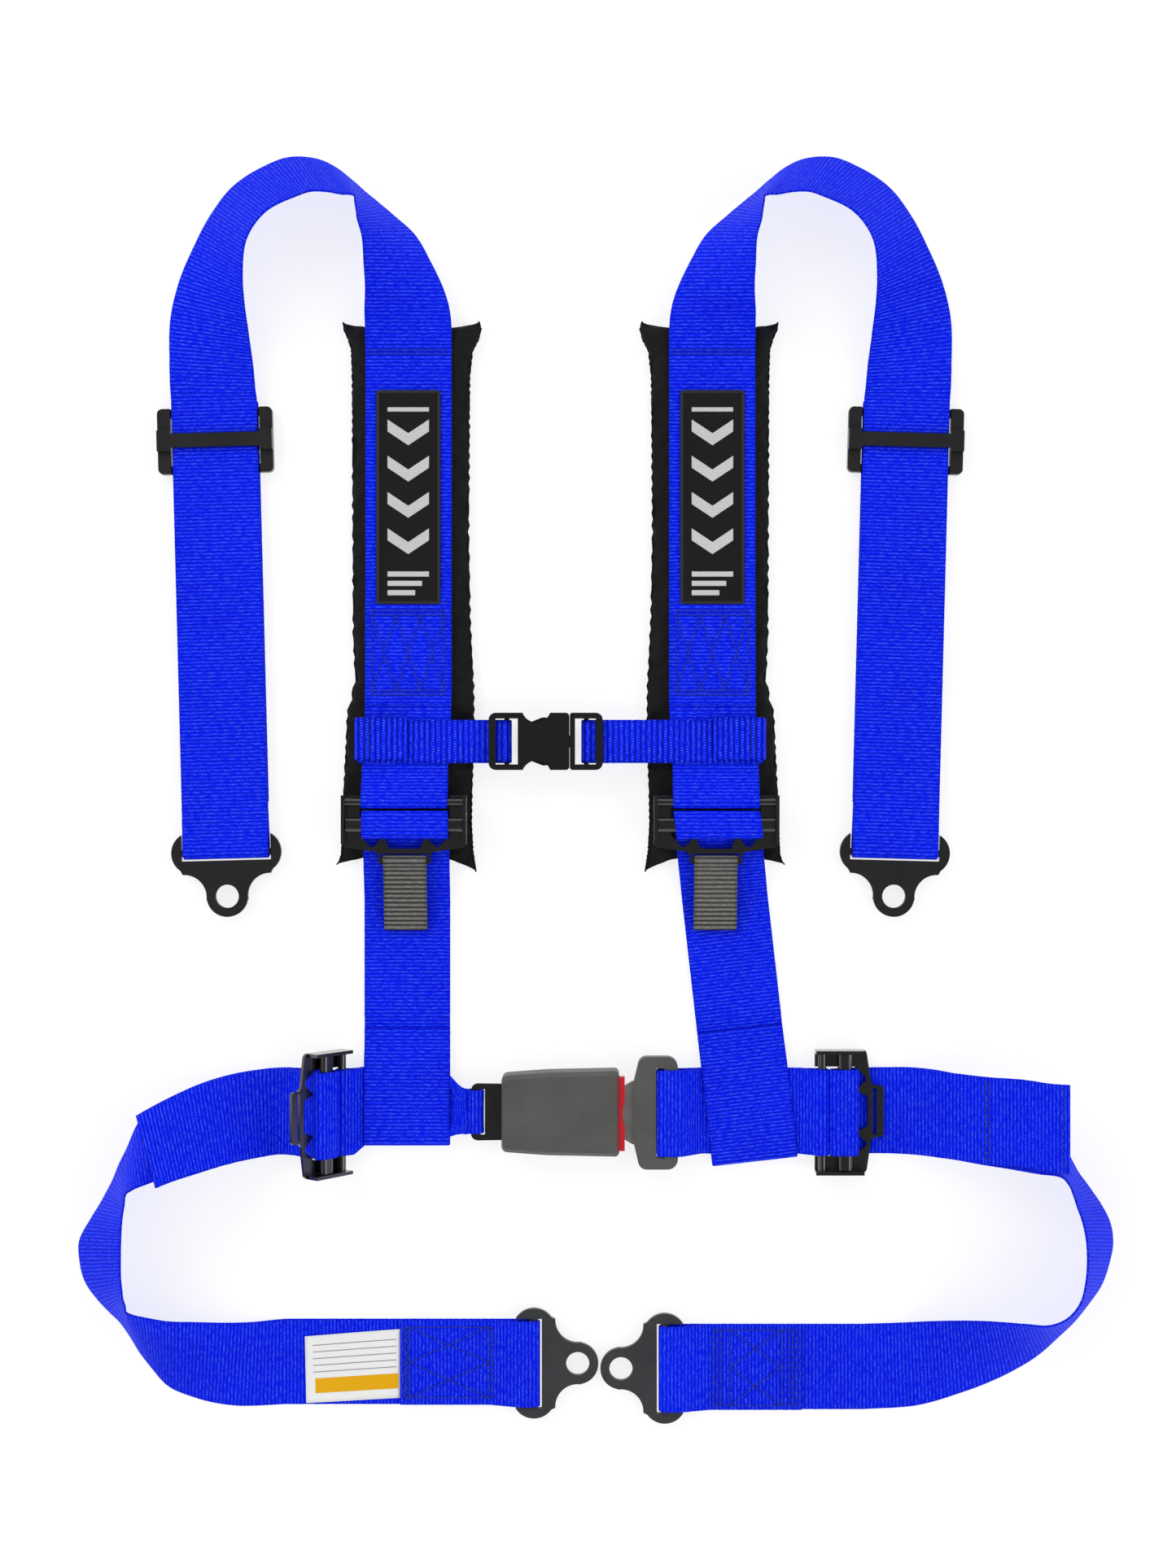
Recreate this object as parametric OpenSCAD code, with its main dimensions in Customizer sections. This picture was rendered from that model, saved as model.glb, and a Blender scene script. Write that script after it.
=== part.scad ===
// Four-point racing harness laid flat: two padded shoulder belts, two lap belts, a chest strap
// with a side-release buckle and a push-button lap buckle.
// X runs across the chest, Y runs towards the shoulders, Z is up from the surface it lies on.

/* [Webbing] */
// Width of the shoulder and lap webbing
webbing_w = 50; // [42:1:60]
// Thickness of the shoulder and lap webbing
webbing_t = 1.4; // [1.1:0.1:1.7]
// Width of the chest webbing
chest_w = 25; // [20:1:30]
// Thickness of the chest webbing
chest_t = 1.4; // [1.1:0.1:1.7]

/* [Layout] */
// Distance of each shoulder belt from the middle of the chest
shoulder_off = 88; // [84:1:106]
// Length of the shoulder tail from the slide to the bolt plate
tail_l = 240; // [200:1:300]
// Sideways lean of the shoulder tails in degrees
tail_lean = 1.5; // [0:0.5:3]
// Distance from the shoulder adjuster's bar down to the lap belt
torso_l = 180; // [170:1:230]

/* [Pad] */
// Length of the shoulder pad
pad_l = 318; // [270:1:380]
// Width of the shoulder pad
pad_w = 67; // [62:1:82]
// Thickness of the shoulder pad
pad_t = 10; // [8:0.5:12]
// Thickness of the pad where the adjuster presses on it
pad_low_t = 5; // [4:0.5:6]
// Thickness of the pad's cover cloth
cover_t = 0.9; // [0.6:0.1:1.2]

/* [Hardware] */
// Thickness of the bolt plates
plate_t = 3; // [2.5:0.1:3.5]
// Radius of the bolt holes
bolt_r = 6.75; // [5:0.05:7.5]
// Steel left around a bolt hole
lug_rim = 5.25; // [4:0.25:7]
// Width of steel beside a webbing slot
slot_side = 6; // [5:0.5:8]
// Thickness of the slide's and the adjusters' steel
steel_t = 2; // [1.6:0.1:2.4]
// Height of the top slide along the strap
slide_h = 38; // [34:1:44]
// Radius of an adjuster's fixed bar
fixed_bar_r = 2.5; // [2:0.1:2.7]
// Height of the adjuster's side flanges
flange_h = 10; // [8:0.5:12]
// Angle at which the left lap adjuster lies tipped up
left_tip = 50; // [30:5:55]

/* [Buckles] */
// Length of the lap buckle's housing
buckle_l = 68; // [60:1:80]
// Width of the lap buckle's housing at its mouth
buckle_w = 49.5; // [47:0.5:58]
// Height of the lap buckle's housing
buckle_h = 18; // [17:0.5:22]
// Width of the steel tongue
tongue_w = 25; // [20:1:28]
// Travel of the red button
button_travel = 4.5; // [3:0.5:5]
// Length of the chest buckle's socket
socket_l = 46.5; // [46:0.5:52]
// Thickness of the chest buckle
chest_buckle_t = 10; // [9:0.5:12]

/* [Clearances] */
// Gap between webbing and the edge of its slot
slot_gap = 1; // [0.6:0.1:1.5]
// Gap between pieces that move past each other
run_gap = 0.3; // [0.25:0.05:0.4]

/* [Hidden] */
EPS = 0.01;
ARC = 10;
STEPS = 3;
ARC_R = 12;
belt_blue = [0.03, 0.1, 0.9];
gunmetal = [0.22, 0.22, 0.23];
lt = webbing_t + 0.1;
slot_hw = webbing_w / 2 + slot_gap;
mid_x = -20;
belt_x = mid_x - shoulder_off;
pad_bottom = -46;
pad_top = pad_bottom + pad_l;

// Shoulder belt, measured on the left side
slide_x = belt_x - 113;
slide_y = pad_top - 69;
fold_y = slide_h / 2 + 2.5;
adj_x = belt_x - 2;
adj_y = -7.5;
block_y0 = 48;
block_y1 = 105;
patch_y0 = 107;
patch_y1 = min(231, pad_top - 30);
chest_y = 27.6;
chest_travel = 6;
chest_back_z = pad_t + run_gap;
chest_over_z = chest_back_z + chest_t + run_gap;
chest_front_z = chest_over_z + webbing_t + run_gap;

// Adjuster, in its own frame: fixed bar on the X axis, front edge towards -Y
adj_bar_z = flange_h / 2 - 0.3;
adj_hw = webbing_w / 2 + 11;
adj_front = -36;
float_y = -13;
float_hw = 4.2;
float_r = 2.5;
bight_slack = 2.5;
bight_in_r = float_r + run_gap;
tab_w = 25;
tab_t = 1;
tab_bar_y = -34;
tab_r = 2.5;
lap_base_z = 2 * lt + 0.7;
shoulder_base_z = pad_low_t + 2 * lt + tab_r + tab_t + 0.5;

// Lap belt, which runs along X
lap_y = adj_y - torso_l;
lap_band_y = lap_y - 147;
left_adj_x = -147;
right_adj_x = 132;
left_link_y = lap_y + 4.5;
left_link_w = webbing_w * 0.86;
lower_x_left = belt_x - 1.5;
lower_x_right = 2 * mid_x - adj_x + 1;
lower_lean = 6.5;

// Bolt plate, in its own frame: slot bar on the X axis, lug towards -Y
bar_hw = 2;
bar_loop_r = 2.7;
plate_z = bar_loop_r + webbing_t;
lug_y = -25.5;
left_plate_x = -35.5;
right_plate_x = 40.7;

// Lap buckle
buckle_x0 = 14 - buckle_l;
buckle_x1 = 14;
buckle_wall = 1.8;
blade_z = 8.9;
bracket_x = -69.25;
bracket_hw = 12.6;
link_end_w = 0.5 * webbing_w;
cover_bar = 7.8;
tip_t = 8;
cover_x0 = 22;
cover_x1 = 48;
tongue_z = blade_z + steel_t / 2;

// Chest buckle
socket_x0 = -61.3;
socket_x1 = socket_x0 + socket_l;
plug_x0 = socket_x1 + run_gap;
plug_x1 = plug_x0 + 19;
chest_hw = chest_w / 2 + 4;
chest_bar_z = chest_front_z - 1.9;
chest_z0 = chest_bar_z - chest_buckle_t / 2 + 1;
chest_bar_r = 1.45;

// Shoulder loop from above the slide to the pad's top, relative to the pad's top:
// [x, y, height of the lower edge, heading of the width, tilt]
LOOP = [
    [-114, -44, 6.2, 0, 0], [-115, -24, 4.5, -5, 5], [-116, -4, 2, -12, 12],
    [-114, 16, 0.5, -23, 25], [-110, 32, 0.5, -34, 35], [-103, 52, 0.5, -41, 45],
    [-92, 67, 0.5, -44, 46], [-74, 78, 0.5, -49, 44], [-63, 82, 0.5, -57, 45],
    [-52, 82, 0.5, -61, 46], [-43, 80, 0.5, -63, 48], [-36, 77, 0.5, -66, 55],
    [-31, 73, 1, -72, 62], [-27, 68, 1.5, -90, 68], [-23, 63, 2, -112, 69],
    [-18, 56, 3, -136, 65], [-10, 45, 5, -157, 55], [-5, 30, 7, -167, 43],
    [-1, 14, 9, -173, 28], [0, 0, 10.1, -178, 10], [0, -18, 10.1, -180, 0]];

// Lap belts from the bolt plate's end round to the adjuster, relative to the lap band and lap line
LEFT_LAP = [
    [-150, 0, 0, 90, 0], [-180, 0, 0, 90, 0], [-209, -1, 0, 86, 5], [-233, 3, 0, 85, 17],
    [-248, 8, 0, 84, 29], [-257, 15, 0, 84, 41], [-264, 21, 0, 84, 50], [-268, 27, 0, 76, 58],
    [-271, 33, 0, 60, 61], [-275, 38, 0, 45, 60], [-279, 44, 0, 32, 56], [-283, 52, 0, 22, 51],
    [-285, 64, 0, 15, 48], [-285, 74, 0, 13, 48], [-281, 86, 0, 12, 56], [-276, 98, 0, 10, 64],
    [-272, 108, 0, -5, 70], [-268, 115, 0, -42, 68], [-259, 126, 0, -64, 50],
    [-246, 133, 0, -68, 38], [-232, 138, 0, -73, 28], [-214, 143, 0, -79, 18],
    [-194, 146, 0, -86, 7], [-183, 147, 0.6, -90, 2], [-173, 147, 2.5, -90, 0],
    [-164, 147, 6, -90, 0], [-157, 147, 9.6, -90, 0]];
RIGHT_LAP = [
    [126, -3, 0, 90, 0], [156, -3, 0, 90, 0], [186, -1, 0, 93, 4], [211, 5, 0, 98, 20],
    [235, 12, 0, 109, 37], [252, 18, 0, 120, 51], [263, 23, 0, 128, 62], [273, 30, 0, 136, 67],
    [281, 40, 0, 142, 67], [286, 50, 0, 149, 63], [289, 62, 0, 156, 60], [290, 75, 0, 159, 57],
    [288, 86, 0, 161, 57], [284, 95, 0, 163, 60], [279, 104, 0, 167, 66], [274, 112, 0, 178, 72],
    [269, 120, 0, 212, 73], [258, 129, 0, 240, 57], [243, 136, 0, 255, 42],
    [225, 141, 0, 262, 28], [205, 145, 0, 267, 14], [185, 147, 0, 270, 4], [166, 147, 0, 270, 0],
    [149, 147, 0, 270, 0]];
LEFT_TAIL = [
    [-167, 147, 16.4, -90, 0], [-174.4, 147, 9.5, -90, 0], [-184, 147, 4.2, -90, 2],
    [-195, 146, 4, -86, 8], [-214, 143, 8, -79, 18],
    [-232, 138, 13.5, -73, 25], [-246, 133, 18, -68, 33], [-255, 129, 21, -64, 37]];
RIGHT_TAIL = [
    [149, 147, 1.7, 270, 0], [166, 147, 1.7, 270, 0], [186, 147, 7, 270, 0], [205, 146, 16, 270, 0],
    [225, 145, 27, 270, 0], [243, 145, 37, 270, 0], [258, 144, 47.5, 270, 0],
    [266, 144, 51, 270, 0]];

SIDES = ["left", "right"];
PAIRED = ["pad_cover", "pad_foam", "shoulder_strap", "shoulder_tail", "adjuster_strap", "pad_patch",
    "top_slide", "shoulder_bolt_plate", "shoulder_adjuster", "shoulder_adjuster_bar",
    "shoulder_bight", "pull_tab", "chest_strap", "lower_strap", "lap_link", "lap_adjuster",
    "lap_adjuster_bar", "lap_bight", "lap_strap", "lap_tail", "lap_bolt_plate"];
SINGLE = ["chest_buckle_socket", "chest_buckle_plug", "chest_prong_upper", "chest_prong_lower",
    "buckle_upper_cover", "buckle_lower_cover", "buckle_frame", "buckle_button", "buckle_latch",
    "buckle_ejector", "buckle_spring", "buckle_rivets", "tongue_plate", "tongue_cover",
    "care_label"];

// ---- Curves and webbing ----

// Points of an arc from angle a0 to a1
function arc(c, r, a0, a1, n = ARC) =
    [for (i = [0:n]) let (a = a0 + (a1 - a0) * i / n) [c[0] + r * cos(a), c[1] + r * sin(a)]];

// Outline with every corner [x, y, radius] rounded by an arc, listed anticlockwise
function rounded(pts, n = 6) = [for (i = [0:len(pts) - 1]) each corner(pts, i, n)];
function corner(pts, i, n) =
    let (m = len(pts), p = pts[i], a = pts[(i + m - 1) % m], b = pts[(i + 1) % m],
        u = unit([a[0] - p[0], a[1] - p[1]]), v = unit([b[0] - p[0], b[1] - p[1]]),
        half = acos(u * v) / 2, d = p[2] / tan(half), w = unit(u + v),
        c = [p[0], p[1]] + w * p[2] / sin(half),
        s = [p[0], p[1]] + u * d - c, e = [p[0], p[1]] + v * d - c,
        a0 = atan2(s[1], s[0]), turn = wrap(atan2(e[1], e[0]) - a0))
    p[2] <= 0 ? [[p[0], p[1]]] : arc(c, p[2], a0, a0 + turn, n);
// Angle on a circle where a line from point p touches it, on the side s
function touch(c, p, r, s) =
    let (v = [p[0] - c[0], p[1] - c[1]]) wrap(atan2(v[1], v[0]) + s * acos(r / norm(v)));
function unit(v) = v / norm(v);
function wrap(a) = a > 180 ? a - 360 : (a < -180 ? a + 360 : a);

// Outline of a strip of thickness t along a path of points
function side_of(path, d) = [for (i = [0:len(path) - 1])
    let (m = len(path) - 1,
        p = i == 0 ? unit(path[1] - path[0]) : unit(path[i] - path[i - 1]),
        q = i == m ? unit(path[m] - path[m - 1]) : unit(path[i + 1] - path[i]),
        h = unit(p + q), k = d / max(0.5, h * p))
    path[i] + [-h[1], h[0]] * k];
function reversed(v) = [for (i = [len(v) - 1:-1:0]) v[i]];
module strip(path, t) {
    polygon(concat(side_of(path, -t / 2), reversed(side_of(path, t / 2))));
}

// Webbing of width w that follows a path in the Y-Z plane, centred on X = 0
module webbing_yz(path, w, t) {
    rotate([90, 0, 90]) linear_extrude(w, center = true) strip(path, t);
}

// Smooth path through stations, weighted by their spacing
function gap_at(p, i) = norm([for (k = [0:2]) p[i + 1][k] - p[i][k]]);
function slope(p, i) =
    i == 0 ? (p[1] - p[0]) / gap_at(p, 0) :
    i == len(p) - 1 ? (p[i] - p[i - 1]) / gap_at(p, i - 1) :
    let (a = gap_at(p, i - 1), b = gap_at(p, i))
    ((p[i] - p[i - 1]) * b / a + (p[i + 1] - p[i]) * a / b) / (a + b);
function between(p, i, f) =
    let (d = gap_at(p, i), f2 = f * f, f3 = f2 * f)
    p[i] * (2 * f3 - 3 * f2 + 1) + slope(p, i) * d * (f3 - 2 * f2 + f)
        + p[i + 1] * (3 * f2 - 2 * f3) + slope(p, i + 1) * d * (f3 - f2);
function smooth(p, n = STEPS) =
    [for (i = [0:len(p) - 2]) for (k = [0:n - 1]) between(p, i, k / n), p[len(p) - 1]];

// Webbing as a ribbon through stations [x, y, height of the lower edge, heading, tilt, width]
function mid_of(s, t) = [s[0], s[1], s[2] + (s[5] * sin(s[4]) + t * cos(s[4])) / 2];
function across(s) = [cos(s[3]) * cos(s[4]), sin(s[3]) * cos(s[4]), sin(s[4])];
function ring(st, i, t) =
    let (m = len(st) - 1, u = across(st[i]),
        run = unit(mid_of(st[min(i + 1, m)], t) - mid_of(st[max(i - 1, 0)], t)),
        n = unit(cross(u, run)), c = mid_of(st[i], t), a = u * st[i][5] / 2, b = n * t / 2)
    [c - a - b, c + a - b, c + a + b, c - a + b];
module ribbon(st, t) {
    m = len(st);
    points = [for (i = [0:m - 1]) each ring(st, i, t)];
    // The upper and lower faces are split along the same diagonal, so the webbing keeps its thickness
    sides = [for (i = [0:m - 2]) for (j = [0:3])
        let (a = 4 * i + j, b = 4 * i + (j + 1) % 4)
        each (j == 2 ? [[a, b, a + 4], [b, b + 4, a + 4]] : [[a, b, b + 4], [a, b + 4, a + 4]])];
    e = 4 * (m - 1);
    polyhedron(points, concat([[3, 2, 1], [3, 1, 0]], sides, [[e, e + 1, e + 2], [e, e + 2, e + 3]]));
}
function wide(stations, x, y, w) = [for (s = stations) [s[0] + x, s[1] + y, s[2], s[3], s[4], w]];

// Draws a left piece as it is and a right one mirrored about the chest's middle
module on_side(side) {
    if (side == "left") children();
    else translate([2 * mid_x, 0, 0]) mirror([1, 0, 0]) children();
}
module belt_colour() { color(belt_blue) children(); }
module steel_colour() { color(gunmetal) children(); }

// ---- Shoulder pad ----

// Pad outline with an ear at each corner, drawn in by d all round
function pad_outline(d) =
    let (h = pad_w / 2 - d, y0 = pad_bottom + 2 + d, y1 = pad_top - 4 - d)
    rounded([[-h - 7, pad_bottom + d + 2, 2], [0, y0 + 5, 40], [h + 4, pad_bottom + d - 2, 2],
        [h + 1.5, y0 + 30, 10], [h + 1.5, 30, 30], [h, 60, 20], [h, y1 - 28, 20],
        [h + 5, y1 + 3, 2], [0, y1 - 2, 60], [-h - 5, y1 + 4, 2], [-h, y1 - 28, 20],
        [-h, 60, 20], [-h - 4, 20, 30], [-h - 3, y0 + 30, 10]]);
// Side view of the pad, thinner under the adjuster
module pad_side(d) {
    rotate([90, 0, 90]) linear_extrude(2 * pad_w, center = true)
        polygon([[pad_bottom - 20, d], [pad_top + 20, d], [pad_top + 20, pad_t - d], [10, pad_t - d],
            [-6, pad_low_t - d], [pad_bottom - 20, pad_low_t - d]]);
}
module pad_body(d) {
    intersection() {
        linear_extrude(pad_t) polygon(pad_outline(d));
        pad_side(d);
    }
}
module pad_cover(side) {
    on_side(side) translate([belt_x + 0.5, 0, 0]) color([0.07, 0.07, 0.07]) difference() {
        pad_body(0);
        pad_body(cover_t);
    }
}
module pad_foam(side) {
    on_side(side) translate([belt_x + 0.5, 0, 0]) color([0.3, 0.3, 0.3]) pad_body(cover_t + 0.1);
}
module pad_patch(side) {
    on_side(side) translate([belt_x, 0, pad_t + webbing_t + 0.2]) color([0.1, 0.1, 0.1])
        linear_extrude(1.2)
            polygon(rounded([[-18.5, patch_y0, 2], [18.5, patch_y0, 2], [18.5, patch_y1, 2],
                [-18.5, patch_y1, 2]]));
}

// ---- Shoulder belt ----

module shoulder_strap(side) {
    loop = wide(smooth(LOOP), belt_x, pad_top, webbing_w);
    over = [for (p = [[block_y1 + 1, pad_t + 0.1], [block_y1 - 2.5, pad_t + lt + 0.1],
            [block_y0 + 10, pad_t + lt + 0.1], [block_y0, chest_over_z + lt]])
        [belt_x, p[0], p[1], -180, 0, webbing_w]];
    on_side(side) belt_colour() ribbon(concat(loop, over), webbing_t);
}
// Places what lies along the shoulder tail: origin at the slide, -Y towards the bolt plate
module along_tail(side) {
    on_side(side) translate([slide_x, slide_y, 0]) rotate([0, 0, tail_lean]) children();
}
tail_b_z = webbing_t + steel_t + 2 * run_gap + 0.2;
tail_a_z = tail_b_z + lt;
function tail_path() =
    let (h = webbing_t / 2, fold_r = tail_b_z / 2, end_r = bar_loop_r + h)
    concat([[fold_y + 1.5, tail_a_z + h], [-tail_l + 30, tail_a_z + h]],
        arc([-tail_l, plate_z], end_r, 90, 270),
        [[-tail_l + 6, h], [-tail_l + 36, tail_b_z + h]],
        arc([fold_y - 2, fold_r + h], fold_r, 90, -90),
        [[-tail_l + 29, h]]);
module shoulder_tail(side) {
    along_tail(side) belt_colour() webbing_yz(tail_path(), webbing_w, webbing_t);
}
module top_slide(side) {
    z0 = webbing_t + run_gap;
    leg = 7.5;
    hw = slot_hw + leg;
    top_z = tail_a_z + webbing_t + run_gap;
    bar = 8;
    along_tail(side) steel_colour() {
        difference() {
            translate([0, 0, z0]) linear_extrude(4.5)
                polygon(rounded([[-hw, -slide_h / 2, 3], [hw, -slide_h / 2, 3],
                    [hw, slide_h / 2, 3], [-hw, slide_h / 2, 3]]));
            translate([-slot_hw, -slide_h / 2 - 1, z0 + steel_t]) cube([2 * slot_hw, slide_h + 2, 9]);
            translate([-slot_hw, -slide_h / 2 + 5, z0 - 1]) cube([2 * slot_hw, slide_h - 10, 9]);
        }
        for (m = [0, 1]) mirror([m, 0, 0])
            translate([slot_hw, -6, z0 + 4.4]) cube([leg, 12, top_z + steel_t - z0 - 4.4]);
        translate([-slot_hw - EPS, -bar / 2, top_z]) cube([2 * (slot_hw + EPS), bar, steel_t]);
    }
}
// Bolt plate with its slot bar along X; the webbing loops round the bar
module bolt_plate() {
    hw = slot_hw + slot_side;
    wing_r = 12.5;
    lug_r = bolt_r + lug_rim;
    slot_y = -(bar_loop_r + webbing_t + 0.5);
    flank = hw - lug_r + 0.5;
    steel_colour() translate([0, 0, -plate_t / 2]) difference() {
        linear_extrude(plate_t) difference() {
            union() {
                for (m = [-1, 1]) translate([m * (hw - wing_r), 0]) circle(wing_r, $fn = 64);
                polygon([[-hw, 0], [-lug_r - 6, lug_y - 2], [lug_r + 6, lug_y - 2], [hw, 0],
                    [hw - wing_r, wing_r], [-hw + wing_r, wing_r]]);
                translate([0, lug_y]) circle(lug_r, $fn = 64);
            }
            for (m = [-1, 1]) translate([m * (lug_r + 13), lug_y]) circle(13, $fn = 64);
            for (m = [-1, 1]) translate([m * (lug_r + 13), lug_y - 8]) circle(13.6, $fn = 64);
            translate([-slot_hw, slot_y]) square([2 * slot_hw, -slot_y - bar_hw]);
            translate([-slot_hw, bar_hw]) square([2 * slot_hw, 30]);
        }
        translate([0, lug_y, -1]) cylinder(r = bolt_r, h = plate_t + 2, $fn = 64);
    }
}
module shoulder_bolt_plate(side) {
    along_tail(side) translate([0, -tail_l, plate_z]) bolt_plate();
}

// ---- Tilt-lock adjuster ----

module adjuster_frame(tab) {
    hw = adj_hw;
    win = slot_hw;
    wall = 2;
    steel_colour() difference() {
        union() {
            linear_extrude(steel_t) difference() {
                polygon(rounded([[-hw, -26, 3], [-15, -29, 3], [-15, adj_front, 2],
                    [15, adj_front, 2], [15, -29, 3], [hw, -26, 3], [hw, 4, 2], [-hw, 4, 2]]));
                polygon(rounded([[-win, -19, 2], [-19, -27, 2], [-12, -19.5, 1], [-9, -27, 2],
                    [9, -27, 2], [12, -19.5, 1], [19, -27, 2], [win, -19, 2],
                    [win, 6, 0], [-win, 6, 0]]));
                translate([-tab_w / 2 - 1, tab_bar_y + 2]) square([tab_w + 2, 2.2]);
            }
            for (m = [-1, 1]) translate([m * (hw - wall / 2), -11, 0]) {
                translate([-wall / 2, -13, 0]) cube([wall, 28, flange_h]);
            }
            translate([0, 0, adj_bar_z]) rotate([0, 90, 0])
                cylinder(r = fixed_bar_r, h = 2 * hw - 1, center = true, $fn = 48);
        }
    }
}
module float_bar() {
    steel_colour() translate([0, float_y, adj_bar_z + 1]) rotate([90, 0, 90])
        linear_extrude(2 * (adj_hw - 2.4), center = true) {
            for (m = [-1, 1]) translate([m * (float_hw - float_r), 0]) circle(float_r, $fn = 48);
            square([2 * (float_hw - float_r), 2 * float_r], center = true);
        }
}
// Turn of webbing wrapped round the floating bar
module float_bight() {
    c = float_hw - float_r + bight_slack;
    r = bight_in_r;
    belt_colour() translate([0, float_y, adj_bar_z + 1]) rotate([90, 0, 90])
        linear_extrude(webbing_w, center = true) difference() {
            union() {
                for (m = [-1, 1]) translate([m * c, 0]) circle(r + webbing_t, $fn = 48);
                square([2 * c, 2 * (r + webbing_t)], center = true);
            }
            for (m = [-1, 1]) translate([m * c, 0]) circle(r, $fn = 48);
            square([2 * c, 2 * r], center = true);
        }
}
module at_shoulder_adjuster(side) {
    on_side(side) translate([adj_x, adj_y, shoulder_base_z]) children();
}
module at_lap_adjuster(side) {
    if (side == "left")
        translate([left_adj_x, lap_y, lap_base_z + adj_bar_z]) rotate([0, 0, -90])
            rotate([-left_tip, 0, 0]) translate([0, 0, -adj_bar_z]) children();
    else translate([right_adj_x, lap_y, lap_base_z]) rotate([0, 0, 90]) children();
}
module shoulder_adjuster(side) { at_shoulder_adjuster(side) adjuster_frame(); }
module shoulder_adjuster_bar(side) { at_shoulder_adjuster(side) float_bar(); }
module shoulder_bight(side) { at_shoulder_adjuster(side) float_bight(); }
module lap_adjuster(side) { at_lap_adjuster(side) adjuster_frame(); }
module lap_adjuster_bar(side) { at_lap_adjuster(side) float_bar(); }
module lap_bight(side) { at_lap_adjuster(side) float_bight(); }

// Short strap from under the pad's stitched block, round the adjuster's fixed bar and back
module adjuster_strap(side) {
    h = webbing_t / 2;
    r = fixed_bar_r + run_gap + h;
    z = chest_over_z + h;
    bar_z = shoulder_base_z + adj_bar_z;
    path = concat([[block_y1 - 3.5, pad_t + 0.1 + h], [block_y0 + 10, pad_t + 0.1 + h], [block_y0, z],
            [8.5, z]],
        arc([adj_y, bar_z], r, touch([adj_y, bar_z], [8.5, z], r, 1), 270),
        [[adj_y + 6, bar_z - r], [8, chest_over_z - h - 0.2]]);
    on_side(side) translate([adj_x, 0, 0]) belt_colour() webbing_yz(path, webbing_w, webbing_t);
}

// Folded pull tab round the adjuster's front bar
module pull_tab(side) {
    r = tab_r + tab_t / 2;
    l = 41;
    path = concat([[-l, 0.6], [-6, 0.6]], arc([0, 0], r, 150, -150), [[-6, -0.6], [-l, -0.6]]);
    at_shoulder_adjuster(side) translate([0, tab_bar_y, steel_t / 2]) rotate([10, 0, 0])
        color([0.08, 0.08, 0.08]) webbing_yz(path, tab_w, tab_t);
}

// Lower belt from the adjuster down round the lap belt, with its free end behind it
module lower_strap(side) {
    h = webbing_t / 2;
    dy = adj_y - 13;
    z_in = shoulder_base_z - 0.4;
    y_link = side == "left" ? left_link_y - left_link_w / 2 : lap_y - webbing_w / 2 - 2.6;
    y_top = side == "left" ? left_link_y + left_link_w / 2 : lap_y + webbing_w / 2;
    front_z = 3 * lt + 0.5;
    r = front_z / 2;
    front = concat([[dy, z_in - h], [dy - 12, pad_low_t + 2 * lt + 0.4], [pad_bottom + 1, pad_low_t + lt + 0.6 + h],
            [pad_bottom - 18, lt + h], [y_top + 29.5, lt + h], [y_top + 23, h]],
        arc([y_link - 0.6, r + h], r, 270, 90),
        [[y_top + 2, front_z + h], [y_top + 13, lt + h], [y_top + 21.5, lt + h]]);
    behind = [[dy, z_in - lt - h], [dy - 12, pad_low_t + lt + 0.2], [pad_bottom + 1, pad_low_t + 0.1 + h],
        [pad_bottom - 17, h], [y_top + 30, h]];
    lean = side == "left" ? 0 : lower_lean;
    x = side == "left" ? lower_x_left : lower_x_right;
    translate([x, dy, 0]) rotate([0, 0, lean]) translate([0, -dy, 0]) belt_colour() {
        webbing_yz(front, webbing_w, webbing_t);
        webbing_yz(behind, webbing_w, webbing_t);
    }
}

// ---- Lap belts ----

// Lap webbing between the buckle and an adjuster, looped round both bars
module lap_link(side) {
    h = webbing_t / 2;
    bar_z = lap_base_z + adj_bar_z;
    r = fixed_bar_r + run_gap + h;
    low = lt + 0.15 + h;
    high = low + lt;
    if (side == "right") {
        edge = cover_x1 - cover_bar;
        top = tongue_z + tip_t / 2;
        path = concat([[right_adj_x - 40, low], [cover_x1 + 14, low], [cover_x1 + 2, top - tip_t - 1]],
            arc([edge + h, top - tip_t + h], run_gap + 2 * h, 270, 180),
            arc([edge + h, top - h], run_gap + 2 * h, 180, 90),
            [[cover_x1 + 2, top + 1], [cover_x1 + 14, high], [right_adj_x - 14, high]],
            arc([right_adj_x, bar_z], r,
                touch([right_adj_x, bar_z], [right_adj_x - 14, high], r, -1), -90),
            [[right_adj_x - 6, bar_z - r], [right_adj_x - 14, low], [right_adj_x - 24, low]]);
        translate([0, lap_y, 0]) rotate([0, 0, -90]) belt_colour() webbing_yz(path, webbing_w, webbing_t);
    } else {
        rb = 3.2 + h;
        bar = blade_z - 0.3 - steel_t / 2;
        path = concat(
            [[left_adj_x + 24, low, 0.86], [left_adj_x + 12, low, 0.86], [left_adj_x + 6, bar_z - r, 1]],
            [for (p = arc([left_adj_x, bar_z], r, 270,
                touch([left_adj_x, bar_z], [left_adj_x + 12, high], r, 1))) [p[0], p[1], 1]],
            [[left_adj_x + 12, high, 0.86], [bracket_x - 14, high, 0.84],
                [bracket_x - 6, bar + rb, 0.5]],
            [for (p = arc([bracket_x, bar], rb, 90, -90)) [p[0], p[1], 0.5]],
            [[bracket_x - 14, low, 0.84], [left_adj_x + 40, low, 0.86]]);
        st = [for (p = path) let (f = (p[2] - 1) / -0.5) [p[0],
            lap_y + (left_link_y - lap_y) * min(1, f * 4) - (f > 0.4 ? 4.2 : 0),
            p[1] - h, 90, 0, webbing_w * p[2]]];
        belt_colour() ribbon(st, webbing_t);
    }
}
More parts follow.
